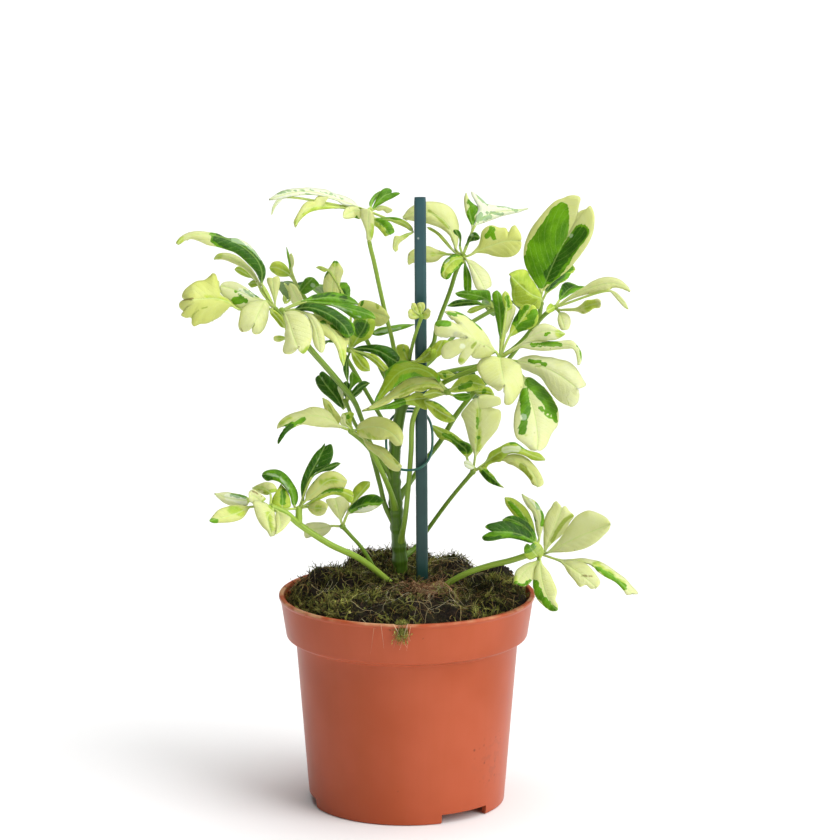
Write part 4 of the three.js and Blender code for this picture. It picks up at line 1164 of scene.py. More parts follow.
class Nodes:
    """Small helper to wire a material's nodes."""

    def __init__(self, name):
        self.material = bpy.data.materials.new(name)
        self.material.use_nodes = True
        self.tree = self.material.node_tree
        self.shader = self.tree.nodes["Principled BSDF"]

    def put(self, socket, value):
        if isinstance(value, bpy.types.NodeSocket):
            self.tree.links.new(value, socket)
        elif isinstance(value, (tuple, list)) and len(value) == 3 and socket.type == "RGBA":
            socket.default_value = (*value, 1)
        else:
            socket.default_value = value

    def node(self, kind, inputs=(), **settings):
        made = self.tree.nodes.new("ShaderNode" + kind)
        for key, value in settings.items():
            setattr(made, key, value)
        for key, value in dict(inputs).items():
            self.put(made.inputs[key], value)
        return made

    def set(self, **inputs):
        for key, value in inputs.items():
            self.put(self.shader.inputs[key.replace("_", " ")], value)

    def math(self, operation, a, b=0.0, c=0.0, clamp=False):
        return self.node("Math", {0: a, 1: b, 2: c}, operation=operation, use_clamp=clamp).outputs[0]

    def times(self, a, b):
        return self.math("MULTIPLY", a, b)

    def inverse(self, value):
        """1 where the value is 0, and 0 where it is 1."""
        return self.math("SUBTRACT", 1.0, value)

    def vector(self, x, y, z=0.0):
        return self.node("CombineXYZ", {0: x, 1: y, 2: z}).outputs[0]

    def parts(self, name):
        source = self.node("Attribute", attribute_name=name).outputs["Vector"]
        return self.node("SeparateXYZ", {0: source}).outputs

    def noise(self, vector, scale, detail=2.0, roughness=0.5):
        inputs = {"Vector": vector, "Scale": scale, "Detail": detail, "Roughness": roughness}
        return self.node("TexNoise", inputs).outputs[0]

    def step(self, value, low, high, to_low=0.0, to_high=1.0):
        inputs = {"Value": value, "From Min": low, "From Max": high, "To Min": to_low, "To Max": to_high}
        return self.node("MapRange", inputs, interpolation_type="SMOOTHSTEP").outputs[0]

    def mix(self, amount, a, b, kind="MIX"):
        made = self.node("Mix", data_type="RGBA", blend_type=kind)
        self.put(made.inputs[0], amount)
        self.put(made.inputs[6], a)
        self.put(made.inputs[7], b)
        return made.outputs[2]

    def bump(self, height, strength, distance, normal=None):
        inputs = {"Height": height, "Strength": strength, "Distance": distance}
        made = self.node("Bump", inputs)
        if normal is not None:
            self.put(made.inputs["Normal"], normal)
        return made.outputs[0]


def colour(code):
    """Linear colour of a screen colour such as 'b4593b'."""
    parts = [int(code[i : i + 2], 16) / 255 for i in (0, 2, 4)]
    return tuple(p / 12.92 if p <= 0.04045 else ((p + 0.055) / 1.055) ** 2.4 for p in parts)


def leaf_paint(n, ragged, cloud, tone):
    """Cream, lime, green and dark green with ragged borders, and painted sheen, olive and brown on them."""
    green, dark, lime = n.parts("paint")
    # The first of the marks is a painted sheen: a pale grey highlight painted where the blade shines.
    painted_sheen, olive, brown = n.parts("marks")
    shade = n.math("MULTIPLY_ADD", ragged, 1.1, n.math("MULTIPLY_ADD", cloud, 2.0, -1.0))
    green_on = n.step(n.math("ADD", green, ragged), -0.12, 0.16)
    dark_on = n.step(n.math("ADD", dark, shade), -0.5, 0.7)
    lime_on = n.step(n.math("MULTIPLY_ADD", ragged, 1.2, lime), -1.4, 1.4)
    cream_level = n.math("MULTIPLY_ADD", n.math("SUBTRACT", cloud, 0.5), 0.8, tone, clamp=True)
    cream = n.mix(cream_level, colour("d0d5a4"), colour("c4cb70"))
    limes = n.mix(n.step(cloud, 0.35, 0.65), colour("b2c63c"), colour("8cae1c"))
    greens = n.mix(n.step(cloud, 0.35, 0.65), colour("669c14"), colour("4a7e0c"))
    darks = n.mix(n.step(cloud, 0.3, 0.7), colour("31640a"), colour("224a06"))
    # Colour of the painted sheen highlight: paler over cream, greyer over green.
    sheen_tints = n.mix(green_on, colour("dfe6cf"), colour("a9bf9c"))
    base = n.mix(n.times(lime_on, 0.85), cream, limes)
    base = n.mix(green_on, base, greens)
    base = n.mix(n.times(dark_on, green_on), base, darks)
    rough = n.times(ragged, 0.5)
    olives, browns = colour("859a20"), colour("735f2c")
    # Olive and brown marks, and between them the painted sheen highlight.
    for level, strength, tint in ((olive, 0.85, olives), (painted_sheen, 0.75, sheen_tints), (brown, 0.8, browns)):
        on = n.step(n.math("ADD", level, rough), -0.4, 0.6)
        base = n.mix(n.times(on, strength), base, tint)
    return base, green_on


def leaf_veins(n, flat, aside, vein, fine, place):
    """How strongly each point lies on a side vein, the fine net and the midrib."""
    spread = n.math("MULTIPLY_ADD", n.math("SUBTRACT", fine, 0.5), 0.5, n.times(vein, 0.3))
    near = n.math("ABSOLUTE", n.math("SUBTRACT", n.math("FRACT", n.math("ADD", spread, place)), 0.5))
    net = n.node("TexVoronoi", {"Vector": flat, "Scale": 0.9}, feature="DISTANCE_TO_EDGE").outputs[0]
    lines = ((near, 0.0, 0.11), (net, 0.0, 0.12), (aside, 0.12, 0.5))
    return [n.inverse(n.step(away, low, high)) for away, low, high in lines]


def leaf_margin(n, base, green_on, flat):
    """Brown specks near the margin and a thin margin line."""
    margin = n.parts("finish")[2]
    dots = n.node("TexVoronoi", {"Vector": flat, "Scale": 0.55}, feature="F1")
    dot = n.inverse(n.step(dots.outputs["Distance"], 0.1, 0.24))
    pick = n.step(n.node("SeparateXYZ", {0: dots.outputs["Color"]}).outputs[0], 0.8, 0.86)
    outer = n.inverse(n.step(margin, 0.4, 2.4))
    base = n.mix(n.times(n.times(dot, pick), n.times(outer, 0.75)), base, colour("6f5a2a"))
    line = n.times(n.inverse(n.step(margin, 0.1, 0.45)), 0.35)
    return n.mix(line, base, n.mix(green_on, colour("b7c464"), colour("7fa648")))


def leaf_material():
    n = Nodes("leaf_blade")
    across, along, seed = n.parts("blade")
    tone, under, _ = n.parts("finish")
    aside = n.math("ABSOLUTE", across)
    place = n.math("ADD", seed, n.times(n.math("SIGN", across), 4.7))
    vein = n.math("MULTIPLY_ADD", aside, -0.9, along)
    run = n.math("MULTIPLY_ADD", along, 0.9, aside)
    flat = n.vector(across, along, seed)
    coarse = n.noise(n.vector(n.times(vein, 0.42), n.times(run, 0.1), place), 1.0, 2.0)
    fine = n.noise(n.vector(n.times(vein, 1.7), n.times(run, 0.4), place), 1.0, 2.0)
    cloud = n.noise(flat, 0.16, 3.0)
    swell = n.noise(n.vector(across, along, place), 0.22, 2.0)
    steps = n.math("MULTIPLY_ADD", coarse, 3.4, -1.7)
    ragged = n.math("ADD", steps, n.math("MULTIPLY_ADD", fine, 0.9, -0.45))
    ragged = n.math("ADD", ragged, n.math("MULTIPLY_ADD", swell, 4.0, -2.0))
    base, green_on = leaf_paint(n, ragged, cloud, tone)
    side_vein, net, midrib = leaf_veins(n, flat, aside, vein, fine, place)
    pale_vein = n.mix(green_on, colour("c3d68a"), colour("9dbf62"))
    base = n.mix(n.times(side_vein, n.math("MULTIPLY_ADD", green_on, 0.02, 0.15)), base, pale_vein)
    base = n.mix(n.times(net, 0.07), base, pale_vein)
    base = n.mix(n.times(midrib, n.math("MULTIPLY_ADD", green_on, -0.2, 0.6)), base, pale_vein)
    base = leaf_margin(n, base, green_on, flat)
    # The lower face is paler and more matt.
    base = n.mix(n.times(under, 0.34), base, colour("98b070"))
    n.set(Base_Color=base)
    n.set(Roughness=n.math("MULTIPLY_ADD", under, 0.22, n.math("MULTIPLY_ADD", cloud, 0.12, 0.27)))
    n.set(Subsurface_Weight=0.35, Subsurface_Radius=(1.0, 1.0, 0.35), Subsurface_Scale=0.0016)
    n.set(Specular_IOR_Level=0.15)
    height = n.math("MULTIPLY_ADD", side_vein, -0.6, n.times(net, -0.25))
    height = n.math("MULTIPLY_ADD", midrib, -0.8, n.math("MULTIPLY_ADD", fine, 0.5, height))
    n.set(Normal=n.bump(height, 0.5, 0.00025))
    return n.material


def stalk_material():
    """Petioles and the main stem: streaked green, paler towards the hub."""
    n = Nodes("stalk_green")
    light, along, around = n.parts("stalk")
    long = n.vector(n.times(around, 3.0), n.times(along, 0.03), light)
    short = n.vector(n.times(around, 1.4), n.times(along, 0.25), light)
    streak = n.noise(long, 1.0, 3.0)
    specks = n.noise(short, 1.0, 4.0)
    base = n.mix(light, colour("3f6410"), colour("a0bc48"))
    base = n.mix(n.step(streak, 0.35, 0.65, 0.0, 0.5), base, colour("689422"))
    base = n.mix(n.step(specks, 0.6, 0.75, 0.0, 0.35), base, colour("3f6420"))
    n.set(Base_Color=base, Roughness=0.38, Subsurface_Weight=0.12, Subsurface_Scale=0.0012)
    n.set(Subsurface_Radius=(0.8, 1.0, 0.3), Specular_IOR_Level=0.35)
    n.set(Normal=n.bump(streak, 0.35, 0.0004))
    return n.material


# Leaves.


def reach_at(form, across):
    reach = 1 - form["round"] * np.abs(across) ** 2.4
    for place, depth, half, opening in form["notches"]:
        reach = reach - depth * np.clip(1 - np.clip(np.abs(across - place) / half, 0, 1) ** opening, 0, 1)
    return reach


def width_at(form, way):
    opening = np.clip(way / form["wide"], 0, 1)
    closing = np.clip((way - form["wide"]) / (1 - form["wide"]), 0, 1)
    return np.sin(opening * np.pi / 2) ** 0.9 * (1 - (1 - form["tip"]) * closing**2)


def nearest_way(middle, rim):
    """For each point of a rim, how far along the midrib its row of the blade starts."""
    own = np.linspace(0, 1, len(rim))
    ahead = np.linspace(0, 1, len(middle))
    apart = np.linalg.norm(rim[:, None] - middle[None], axis=-1)
    apart = apart + 1e3 * (np.abs(ahead[None] - own[:, None]) > 0.3)
    nearest = np.maximum.accumulate(ahead[np.argmin(apart, axis=1)])
    return NEAR_SHARE * nearest + (1 - NEAR_SHARE) * own


def blade_rows(middle, rims, step):
    """Ways along the midrib and both rims, as fractions, that give rows about one step apart."""
    ways = [nearest_way(middle, rim) for rim in rims]
    dense = np.linspace(0, 1, 400)
    tracks = [along_track(middle, dense)]
    for way, rim in zip(ways, rims):
        tracks.append(np.stack([np.interp(dense, way, rim[:, i]) for i in (0, 1)], axis=-1))
    steps = np.max([np.linalg.norm(np.diff(track, axis=0), axis=1) for track in tracks], axis=0)
    run = np.concatenate([[0], np.cumsum(steps)])
    chosen = np.interp(np.linspace(0, run[-1], int(np.clip(run[-1] / step, *ROW_COUNTS))), run, dense)
    chosen[-1] = LAST_ROW
    return chosen, [np.interp(chosen, way, np.linspace(0, 1, len(rim))) for way, rim in zip(ways, rims)]


def along_track(track, way):
    index = np.linspace(0, 1, len(track))
    return np.stack([np.interp(way, index, track[:, i]) for i in range(track.shape[1])], axis=-1)


def traced(hub, row):
    """Midrib, rims and bends of a blade whose outline is given as the photograph shows it."""
    middle_spots = spots(row["midrib"])
    ribs = placed(middle_spots, np.linspace(*row["depth"], len(middle_spots)))
    whole = catmull([hub, *ribs], MIDRIB_POINTS)
    foot = np.argmin(np.linalg.norm(whole - ribs[0], axis=1))
    middle = whole[foot:]
    flat = seen(middle)
    rims = [catmull([flat[0], *spots(rim), flat[-1]], 200) for rim in row["rims"]]
    ways, runs = blade_rows(flat, rims, ROW_PIXELS)
    mid = along_track(middle, ways)
    facing = unit(row["face"])
    edges = []
    for rim, run in zip(rims, runs):
        spot = along_track(rim, run)
        sight = sights(spot)
        far = ((mid - CAMERA_FROM) @ facing) / (sight @ facing)
        depth = (CAMERA_FROM + sight * far[:, None])[:, 1] - mid[:, 1]
        edges.append(placed(spot, mid[:, 1] + np.clip(depth, -DEEPEST, DEEPEST)))
    bend = unit(mid - CAMERA_FROM)
    return whole[: foot + 1], mid, edges, [bend * row["curl"]] * 2


def drawn(hub, row, form, rng):
    """The same for a blade given by its tip, width, arch, sway, facing and kind of outline."""
    tip, width, arch, sway, facing, _, cup = row[:7]
    tip, facing = np.asarray(tip, dtype=float), unit(facing)
    chord = tip - hub
    along = unit(chord)
    rise = unit(facing - along * (along @ facing))
    belly = hub + chord / 2 + 2 * arch * rise + 2 * sway * np.cross(along, rise)
    q = np.linspace(0, 1, MIDRIB_POINTS)[:, None]
    whole = evenly((1 - q) ** 2 * hub + 2 * q * (1 - q) * belly + q**2 * tip, MIDRIB_POINTS)
    foot = int(MIDRIB_POINTS * PETIOLULE)
    middle = whole[foot:]
    length = np.linalg.norm(np.diff(middle, axis=0), axis=1).sum()
    flat = np.stack([np.zeros(len(middle)), np.linspace(0, length, len(middle))], axis=-1)
    rims = []
    for side in (-1, 1):
        way = np.linspace(0, reach_at(form, 1.0), 90)
        edge = side * width / 2 * width_at(form, way) * (1 + 0.05 * waves(rng, way * length, 6))
        end = np.linspace(1, 0, 90)[1:]
        reach = reach_at(form, side * end)
        last = side * end * width / 2 * width_at(form, reach)
        across = np.concatenate([edge, last])
        run = np.concatenate([way, reach]) * length
        rims.append(evenly(np.stack([across, run], axis=-1), 260))
    flat[:, 1] *= reach_at(form, 0.0)
    ways, runs = blade_rows(flat, rims, ROW_MM)
    tangents = unit(np.gradient(middle, axis=0))
    sides = np.cross(tangents, unit(facing - tangents * (tangents @ facing)[:, None]))
    mid = along_track(middle, ways * reach_at(form, 0.0))
    edges, bends = [], []
    for rim, run in zip(rims, runs):
        spot = along_track(rim, run)
        place = spot[:, 1] / length
        side = along_track(sides, place)
        edges.append(along_track(middle, place) + side * spot[:, :1])
        bends.append(facing * np.abs(spot[:, :1]) * cup / 2)
    return whole[: foot + 1], mid, edges, bends


def with_neck(neck, mid, edges, bends, facing):
    """A blade's midrib, rims and bends, led back to the hub by the rows of its short stalk."""
    side = np.cross(unit(np.gradient(mid, axis=0)), facing)
    if np.sum((edges[1] - mid) * side) < 0:
        edges, bends = edges[::-1], bends[::-1]
    side = unit(side)
    count = max(4, int(np.linalg.norm(neck[-1] - neck[0]) / 1.2))
    neck = evenly(neck, count + 1)[:-1]
    aside = unit(np.cross(unit(np.gradient(neck, axis=0)), facing)) * LEAST_HALF
    low_part = 1 - smooth(0.0, 0.35, np.linspace(0, 1, len(mid)))
    for k, sign in ((0, -1), (1, 1)):
        size = np.linalg.norm(edges[k] - mid, axis=1, keepdims=True)
        lack = np.clip(LEAST_HALF - size, 0, None) * low_part[:, None]
        edges[k] = np.concatenate([neck + sign * aside, edges[k] + side * (sign * lack)])
        bends[k] = np.concatenate([np.zeros_like(neck), bends[k] * np.ones_like(mid)])
    return np.concatenate([neck, mid]), edges, bends, count


def painted(look, picture, lateral, ahead, widest, length, on_stalk):
    """How far inside the patches of each colour the points of a blade lie; below 0 they are outside."""
    fields = {level: np.full(lateral.shape, -ALL_OVER) for level in "gdlsob"}
    for level, *patch in look["patches"]:
        if not patch:
            value = np.full(lateral.shape, ALL_OVER)
        elif isinstance(patch[0], np.ndarray):
            value = (max(patch[1], LEAST_STROKE) - stroke_distance(picture, patch[0])) * FIRM
        else:
            across, along, wide, long = patch
            away = np.hypot((lateral - across) / wide, (0.12 + 0.88 * ahead - along) / long)
            value = (1 - away) * min(wide * widest, long * length)
        fields[level] = np.maximum(fields[level], value)
        if level == "d":
            fields["g"] = np.maximum(fields["g"], value + 2)
    fields["l"] = fields["l"] + STALK_GREEN * on_stalk
    for level in "gdsob":
        fields[level] = fields[level] - STALK_GREEN * on_stalk
    return fields


def shell_faces(rows, columns):
    """Faces of an upper and a lower grid of points, joined along their outer rim."""
    first = rows * columns
    rim = [
        *range(columns),
        *range(2 * columns - 1, first, columns),
        *range(first - 2, first - columns - 1, -1),
        *range(first - 2 * columns, 0, -columns),
    ]
    rim = np.array(rim)
    beyond = np.roll(rim, -1)
    return [
        grid_faces(rows, columns),
        grid_faces(rows, columns, first, turned=True),
        np.stack([rim, rim + first, beyond + first, beyond], axis=-1),
    ]


def leaflet(piece, hub, row, look, seed):
    """A thin closed blade over a fine grid of rows across its midrib, with its own short stalk."""
    rng = np.random.default_rng(seed)
    if isinstance(row, dict):
        facing = unit(row["face"])
        neck, mid, edges, bends = traced(hub, row)
    else:
        facing = unit(row[4])
        neck, mid, edges, bends = drawn(hub, row, FORMS[row[5]], rng)
    mid, edges, bends, count = with_neck(neck, mid, edges, bends, facing)
    steps = np.concatenate([[0], np.cumsum(np.linalg.norm(np.diff(mid, axis=0), axis=1))])
    halves = [np.linalg.norm(edge - mid, axis=1) for edge in edges]
    per_half = int(np.clip(max(h.max() for h in halves) / 1.1, *COLUMN_COUNTS))
    # The grid: lateral is -1 at one rim and 1 at the other; along is the way from the hub.
    rows, columns = len(mid), 2 * per_half + 1
    lateral = np.broadcast_to(np.linspace(-1, 1, columns), (rows, columns))
    out = np.abs(lateral)
    along = steps[:, None] * np.ones_like(lateral)
    right = lateral > 0
    edge = np.where(right[..., None], edges[1][:, None], edges[0][:, None])
    bend = np.where(right[..., None], bends[1][:, None], bends[0][:, None])
    half = np.where(right, halves[1][:, None], halves[0][:, None])
    sheet = mid[:, None] + out[..., None] * (edge - mid[:, None]) + out[..., None] ** 2 * bend
    on_stalk = (1 - smooth(steps[count] * 0.9, steps[count] + 2.5, steps))[:, None] * np.ones_like(lateral)
    normal = unit(np.cross(np.gradient(sheet, axis=1), np.gradient(sheet, axis=0)))
    normal = normal * np.where(normal @ facing < 0, -1, 1)[..., None]
    normal = unit(normal + 0.35 * facing + 1.5 * on_stalk[..., None] * facing)
    # Relief: swollen halves, waving rims, side veins and the groove of the midrib.
    dome = 4 * out * (1 - out)
    puff = PUFF * half * dome
    ruffle = np.where(right, waves(rng, along, 15), waves(rng, along, 15)) * RUFFLE * out**2.2
    quilt = QUILT * np.sin(2 * np.pi * (along - VEIN_SLANT * half * out) / VEIN_STEP + seed) * dome
    groove = -GROOVE * np.exp(-((half * lateral / GROOVE_HALF) ** 2))
    narrow = np.clip(half / 3, 0, 1)
    fade = 1 - on_stalk
    sheet = sheet + normal * ((puff + (ruffle + quilt + groove) * narrow) * fade)[..., None]
    thick = fade * BLADE_THICK * (1 - 0.6 * out**8) + on_stalk * STALK_THICK * np.sqrt(1 - 0.96 * out**2)
    upper = sheet + normal * thick[..., None] / 2
    lower = sheet - normal * thick[..., None] / 2
    # Colours.
    ahead = np.clip((along - steps[count]) / (steps[-1] - steps[count]), 0, 1)
    fields = painted(look, seen(sheet), lateral, ahead, half.max(), steps[-1], on_stalk)
    margin = np.minimum(half * (1 - out), (steps[-1] - along) + 0.3)
    tone, place = np.full(out.shape, look["tone"]), np.full(out.shape, seed * 1.37 % 97)
    values = {
        "blade": [half * lateral, along, place],
        "paint": [fields["g"], fields["d"], fields["l"]],
        # The marks: painted sheen highlight (level s), olive and brown.
        "marks": [fields["s"], fields["o"], fields["b"]],
    }
    stacked = {key: np.stack(value, axis=-1).reshape(-1, 3) for key, value in values.items()}
    doubled = {key: np.concatenate([value, value]) for key, value in stacked.items()}
    sides = [np.stack([tone, np.full(out.shape, under), margin], axis=-1) for under in (0.0, 1.0)]
    doubled["finish"] = np.concatenate(sides).reshape(-1, 3)
    points = np.concatenate([upper.reshape(-1, 3), lower.reshape(-1, 3)])
    piece.add(points, shell_faces(rows, columns), **doubled)


def stroke_distance(where, line):
    """How far each point of the picture is from a brush stroke's line."""
    if len(line) == 1:
        return np.linalg.norm(where - line[0], axis=-1)
    best = np.full(where.shape[:-1], 1e9)
    for a, b in zip(line, line[1:]):
        span = b - a
        way = np.clip(((where - a) @ span) / max(span @ span, 1e-9), 0, 1)
        best = np.minimum(best, np.linalg.norm(where - a - way[..., None] * span, axis=-1))
    return best


def look_of(entry):
    """The patches and tone of a pattern's name, or of brush strokes such as "0.5|d7 262,283 262,270"."""
    if entry in PATTERNS:
        return {"patches": PATTERNS[entry], "tone": 0.55}
    tone, *strokes = entry.split("|")
    patches = []
    for stroke in strokes:
        size, _, line = stroke.strip().partition(" ")
        level = size[0]
        if not line:
            patches.append((level,))
            continue
        half = float(size[1:])
        thin, more = THIN_STROKES.get(level, (0, 0))
        if half <= thin:
            level, half = "g", half + more
        patches.append((level, spots(line), half))
    return {"patches": patches, "tone": float(tone)}


def stalk_values(glow, along, turn, ends):
    """The values of a stalk's points: how light it is there, how far along, and how far round."""
    rows = [np.repeat(glow, len(turn)), np.repeat(along, len(turn)), np.tile(np.abs(turn - np.pi), len(glow))]
    return np.concatenate([np.stack(rows, axis=-1), [[end, 0, 0] for end in ends]])


def stalk(piece, radius, foot, points, light, seed):
    on_stem = isinstance(foot, (int, float))
    foot = stem_at(foot) if on_stem else np.array(foot, dtype=float)
    if isinstance(points[0], str):
        way = spots(points[0])
        points = placed(way, np.linspace(foot[1], points[1], len(way)))
    line = [foot, *points]
    total = sum(np.linalg.norm(np.subtract(a, b)) for a, b in zip(line, line[1:]))
    path = catmull(line, int(total / 1.1) + 6)
    way = np.linspace(0, 1, len(path))
    sheath = np.exp(-np.maximum(way * total - 3, 0) / 4.0) * (0.9 if on_stem else 0.4)
    radii = radius * (1 + sheath + 0.3 * np.exp(-(1 - way) * total / 1.8))
    sides = 12
    turn = np.linspace(0, 2 * np.pi, sides, endpoint=False)
    rng = np.random.default_rng(seed)
    ridges = 1 + 0.03 * np.cos(3 * turn + rng.uniform(0, 6))[None, :] * np.ones((len(path), 1))
    shape, faces = tube(path, radii[:, None] * ridges, sides)
    glow = light + 0.25 * way + 0.05 * waves(rng, way * total, 30)
    values = stalk_values(glow, way * total + seed * 31, turn, (glow[0], glow[-1]))
    piece.add(shape, faces, stalk=values)
    knob(piece, path[-1], 1.5, glow[-1], seed)
    return path[-1]


def knob(piece, centre, size, light, seed):
    """A small uneven swelling where the leaflets spring from."""
    rng = np.random.default_rng(seed + 500)
    rows, columns = 9, 14
    lat = np.linspace(0, np.pi, rows)[1:-1]
    lon = np.linspace(0, 2 * np.pi, columns, endpoint=False)
    tilt, turn = np.meshgrid(lat, lon, indexing="ij")
    size = size * (1 + 0.07 * np.sin(3 * turn + rng.uniform(0, 6)) * np.sin(2 * tilt))
    out = size * np.sin(tilt)
    points = np.stack([out * np.cos(turn), out * np.sin(turn), 0.85 * size * np.cos(tilt)], axis=-1)
    top = 0.8 * size.mean()
    points = np.concatenate([points.reshape(-1, 3), [[0, 0, top], [0, 0, -top]]]) + centre
    piece.add(points, capped(len(lat), columns, turned=True), stalk=[light, 3.0 * seed, 1.0])


LEAF = leaf_material()
STALK = stalk_material()


def leaves():
    seed = 1
    for name in dict.fromkeys(frond[0] for frond in FRONDS):
        blades = Piece(name + "_blades", "blade", "paint", "marks", "finish")
        stems = Piece(name + "_stalk", "stalk")
        for label, radius, light, foot, line, leaflets in FRONDS:
            if label != name:
                continue
            hub = stalk(stems, radius, foot, line, light, seed)
            for row in leaflets:
                seed += 1
                leaflet(blades, hub, row, look_of(row["look"] if isinstance(row, dict) else row[-1]), seed)
        blades.make(LEAF, "leaf", name)
        stems.make(STALK, "stem", name)


leaves()


# Main stem, with rings where leaves leave it.


def main_stem():
    path = catmull(STEM_PATH, 150)
    way = np.linspace(0, 1, len(path))
    radii = STEM_FOOT_RADIUS + (STEM_TOP_RADIUS - STEM_FOOT_RADIUS) * way**0.7
    heights = sorted(foot for _, _, _, foot, _, _ in FRONDS if isinstance(foot, (int, float)))
    for height in heights:
        away = path[:, 2] - height
        radii = radii + 0.45 * np.exp(-((away / 1.6) ** 2)) - 0.15 * np.exp(-(((away + 2.6) / 0.7) ** 2))
    sides = 28
    turn = np.linspace(0, 2 * np.pi, sides, endpoint=False)
    ribs = 1 + 0.035 * np.cos(5 * turn + 0.8)[None, :] + 0.02 * np.cos(9 * turn)[None, :]
    shape, faces = tube(path, radii[:, None] * ribs, sides)
    values = stalk_values(np.full(len(path), 0.12), path[:, 2], turn, (0.1, 0.1))
    piece = Piece("main_stem_bark", "stalk")
    piece.add(shape, faces, stalk=values)
    piece.make(STALK, "stem", "main_stem")


main_stem()


# Cane and tie ring.


def cane():
    foot, top = (np.array(CANE[k], dtype=float) for k in ("foot", "top"))
    count = 120
    path = foot + (top - foot) * np.linspace(0, 1, count)[:, None]
    axis = unit(top - foot)
    across = unit(np.cross([0, 1, 0], axis))
    depth = np.cross(axis, across)
    sides = 48
    turn = np.linspace(0, 2 * np.pi, sides, endpoint=False)
    power = 0.52
    x = np.sign(np.cos(turn)) * np.abs(np.cos(turn)) ** power * CANE["width"] / 2
    y = np.sign(np.sin(turn)) * np.abs(np.sin(turn)) ** power * CANE["depth"] / 2
    rng = np.random.default_rng(3)
    wear = 1 - 0.012 * np.abs(waves(rng, np.linspace(0, 266, count), 20))
    ends = np.ones(count)
    ends[-1] = 0.93
    shape = path[:, None] + (across * x[:, None] + depth * y[:, None])[None] * (wear * ends)[:, None, None]
    points = np.concatenate([shape.reshape(-1, 3), path[:1], path[-1:]])
    n = Nodes("cane_paint")
    place = n.node("TexCoord").outputs["Object"]
    stretched = n.node("Mapping", {"Vector": place, "Scale": (900.0, 900.0, 40.0)}).outputs[0]
    grain = n.noise(stretched, 1.0, 3.0)
    patch = n.noise(place, 60.0, 2.0)
    height = n.node("SeparateXYZ", {0: place}).outputs[2]
    base = n.mix(n.step(patch, 0.35, 0.7), colour("163f3b"), colour("204d47"))
    base = n.mix(n.step(height, 0.19, 0.28, 0.0, 0.45), base, colour("26505e"))
    base = n.mix(n.step(grain, 0.55, 0.75, 0.0, 0.35), base, colour("0f2c2a"))
    chip = n.node("TexVoronoi", {"Vector": place, "Scale": 95.0}, feature="F1")
    chipped = n.inverse(n.step(chip.outputs["Distance"], 0.03, 0.06))
    base = n.mix(n.times(chipped, 0.6), base, colour("b9c6c0"))
    n.set(Base_Color=base, Roughness=0.36, Normal=n.bump(grain, 0.25, 0.0003))
    piece = Piece("cane_stick")
    piece.add(points, capped(count, sides))
    made = piece.make(n.material, "cane_coat", "cane")
    made.data.set_sharp_from_angle(angle=math.radians(50))


def tie_ring():
    centre, across, reach = RING["centre"], RING["across"], RING["reach"]
    way = np.linspace(0, 1, 260)
    turn = -np.pi / 2 - RING["turns"] * np.pi + 2 * np.pi * RING["turns"] * way
    squared = [np.sign(v) * np.abs(v) ** 0.8 for v in (np.cos(turn), np.sin(turn))]
    spread = 1 + 0.05 * way
    path = np.stack(
        [
            centre[0] + across * spread * squared[0],
            centre[1] + reach[0] * spread * squared[1],
            centre[2] + reach[1] * squared[1] + RING["lift"] * (way - 0.5),
        ],
        axis=-1,
    )
    shape, faces = tube(evenly(path, 260), np.full(260, RING["wire"]), 14)
    n = Nodes("wire_coat")
    place = n.node("TexCoord").outputs["Object"]
    base = n.mix(n.noise(place, 300.0), colour("14483c"), colour("1f6b58"))
    n.set(Base_Color=base, Roughness=0.3, Coat_Weight=0.3, Coat_Roughness=0.2)
    piece = Piece("tie_ring_wire")
    piece.add(shape, faces)
    piece.make(n.material, "tie_wire", "tie_ring")


cane()
tie_ring()


# Pot.


def rounded(corners):
    """A line through corners [r, z, fillet], each rounded."""
    out = []
    for i, (r, z, fillet) in enumerate(corners):
        here = np.array([r, z], dtype=float)
        if fillet == 0 or i in (0, len(corners) - 1):
            out.append(here)
            continue
        before = np.array(corners[i - 1][:2], dtype=float)
        after = np.array(corners[i + 1][:2], dtype=float)
        a = here + unit(before - here) * fillet
        b = here + unit(after - here) * fillet
        for t in np.linspace(0, 1, 6):
            out.append((1 - t) ** 2 * a + 2 * t * (1 - t) * here + t**2 * b)
    return np.array(out)


def filled(line, longest):
    """The same line with points added so that no stretch is longer than a length."""
    out = [line[0]]
    for a, b in zip(line, line[1:]):
        count = max(1, int(np.ceil(np.linalg.norm(b - a) / longest)))
        out.extend(a + (b - a) * k / count for k in range(1, count + 1))
    return np.array(out)


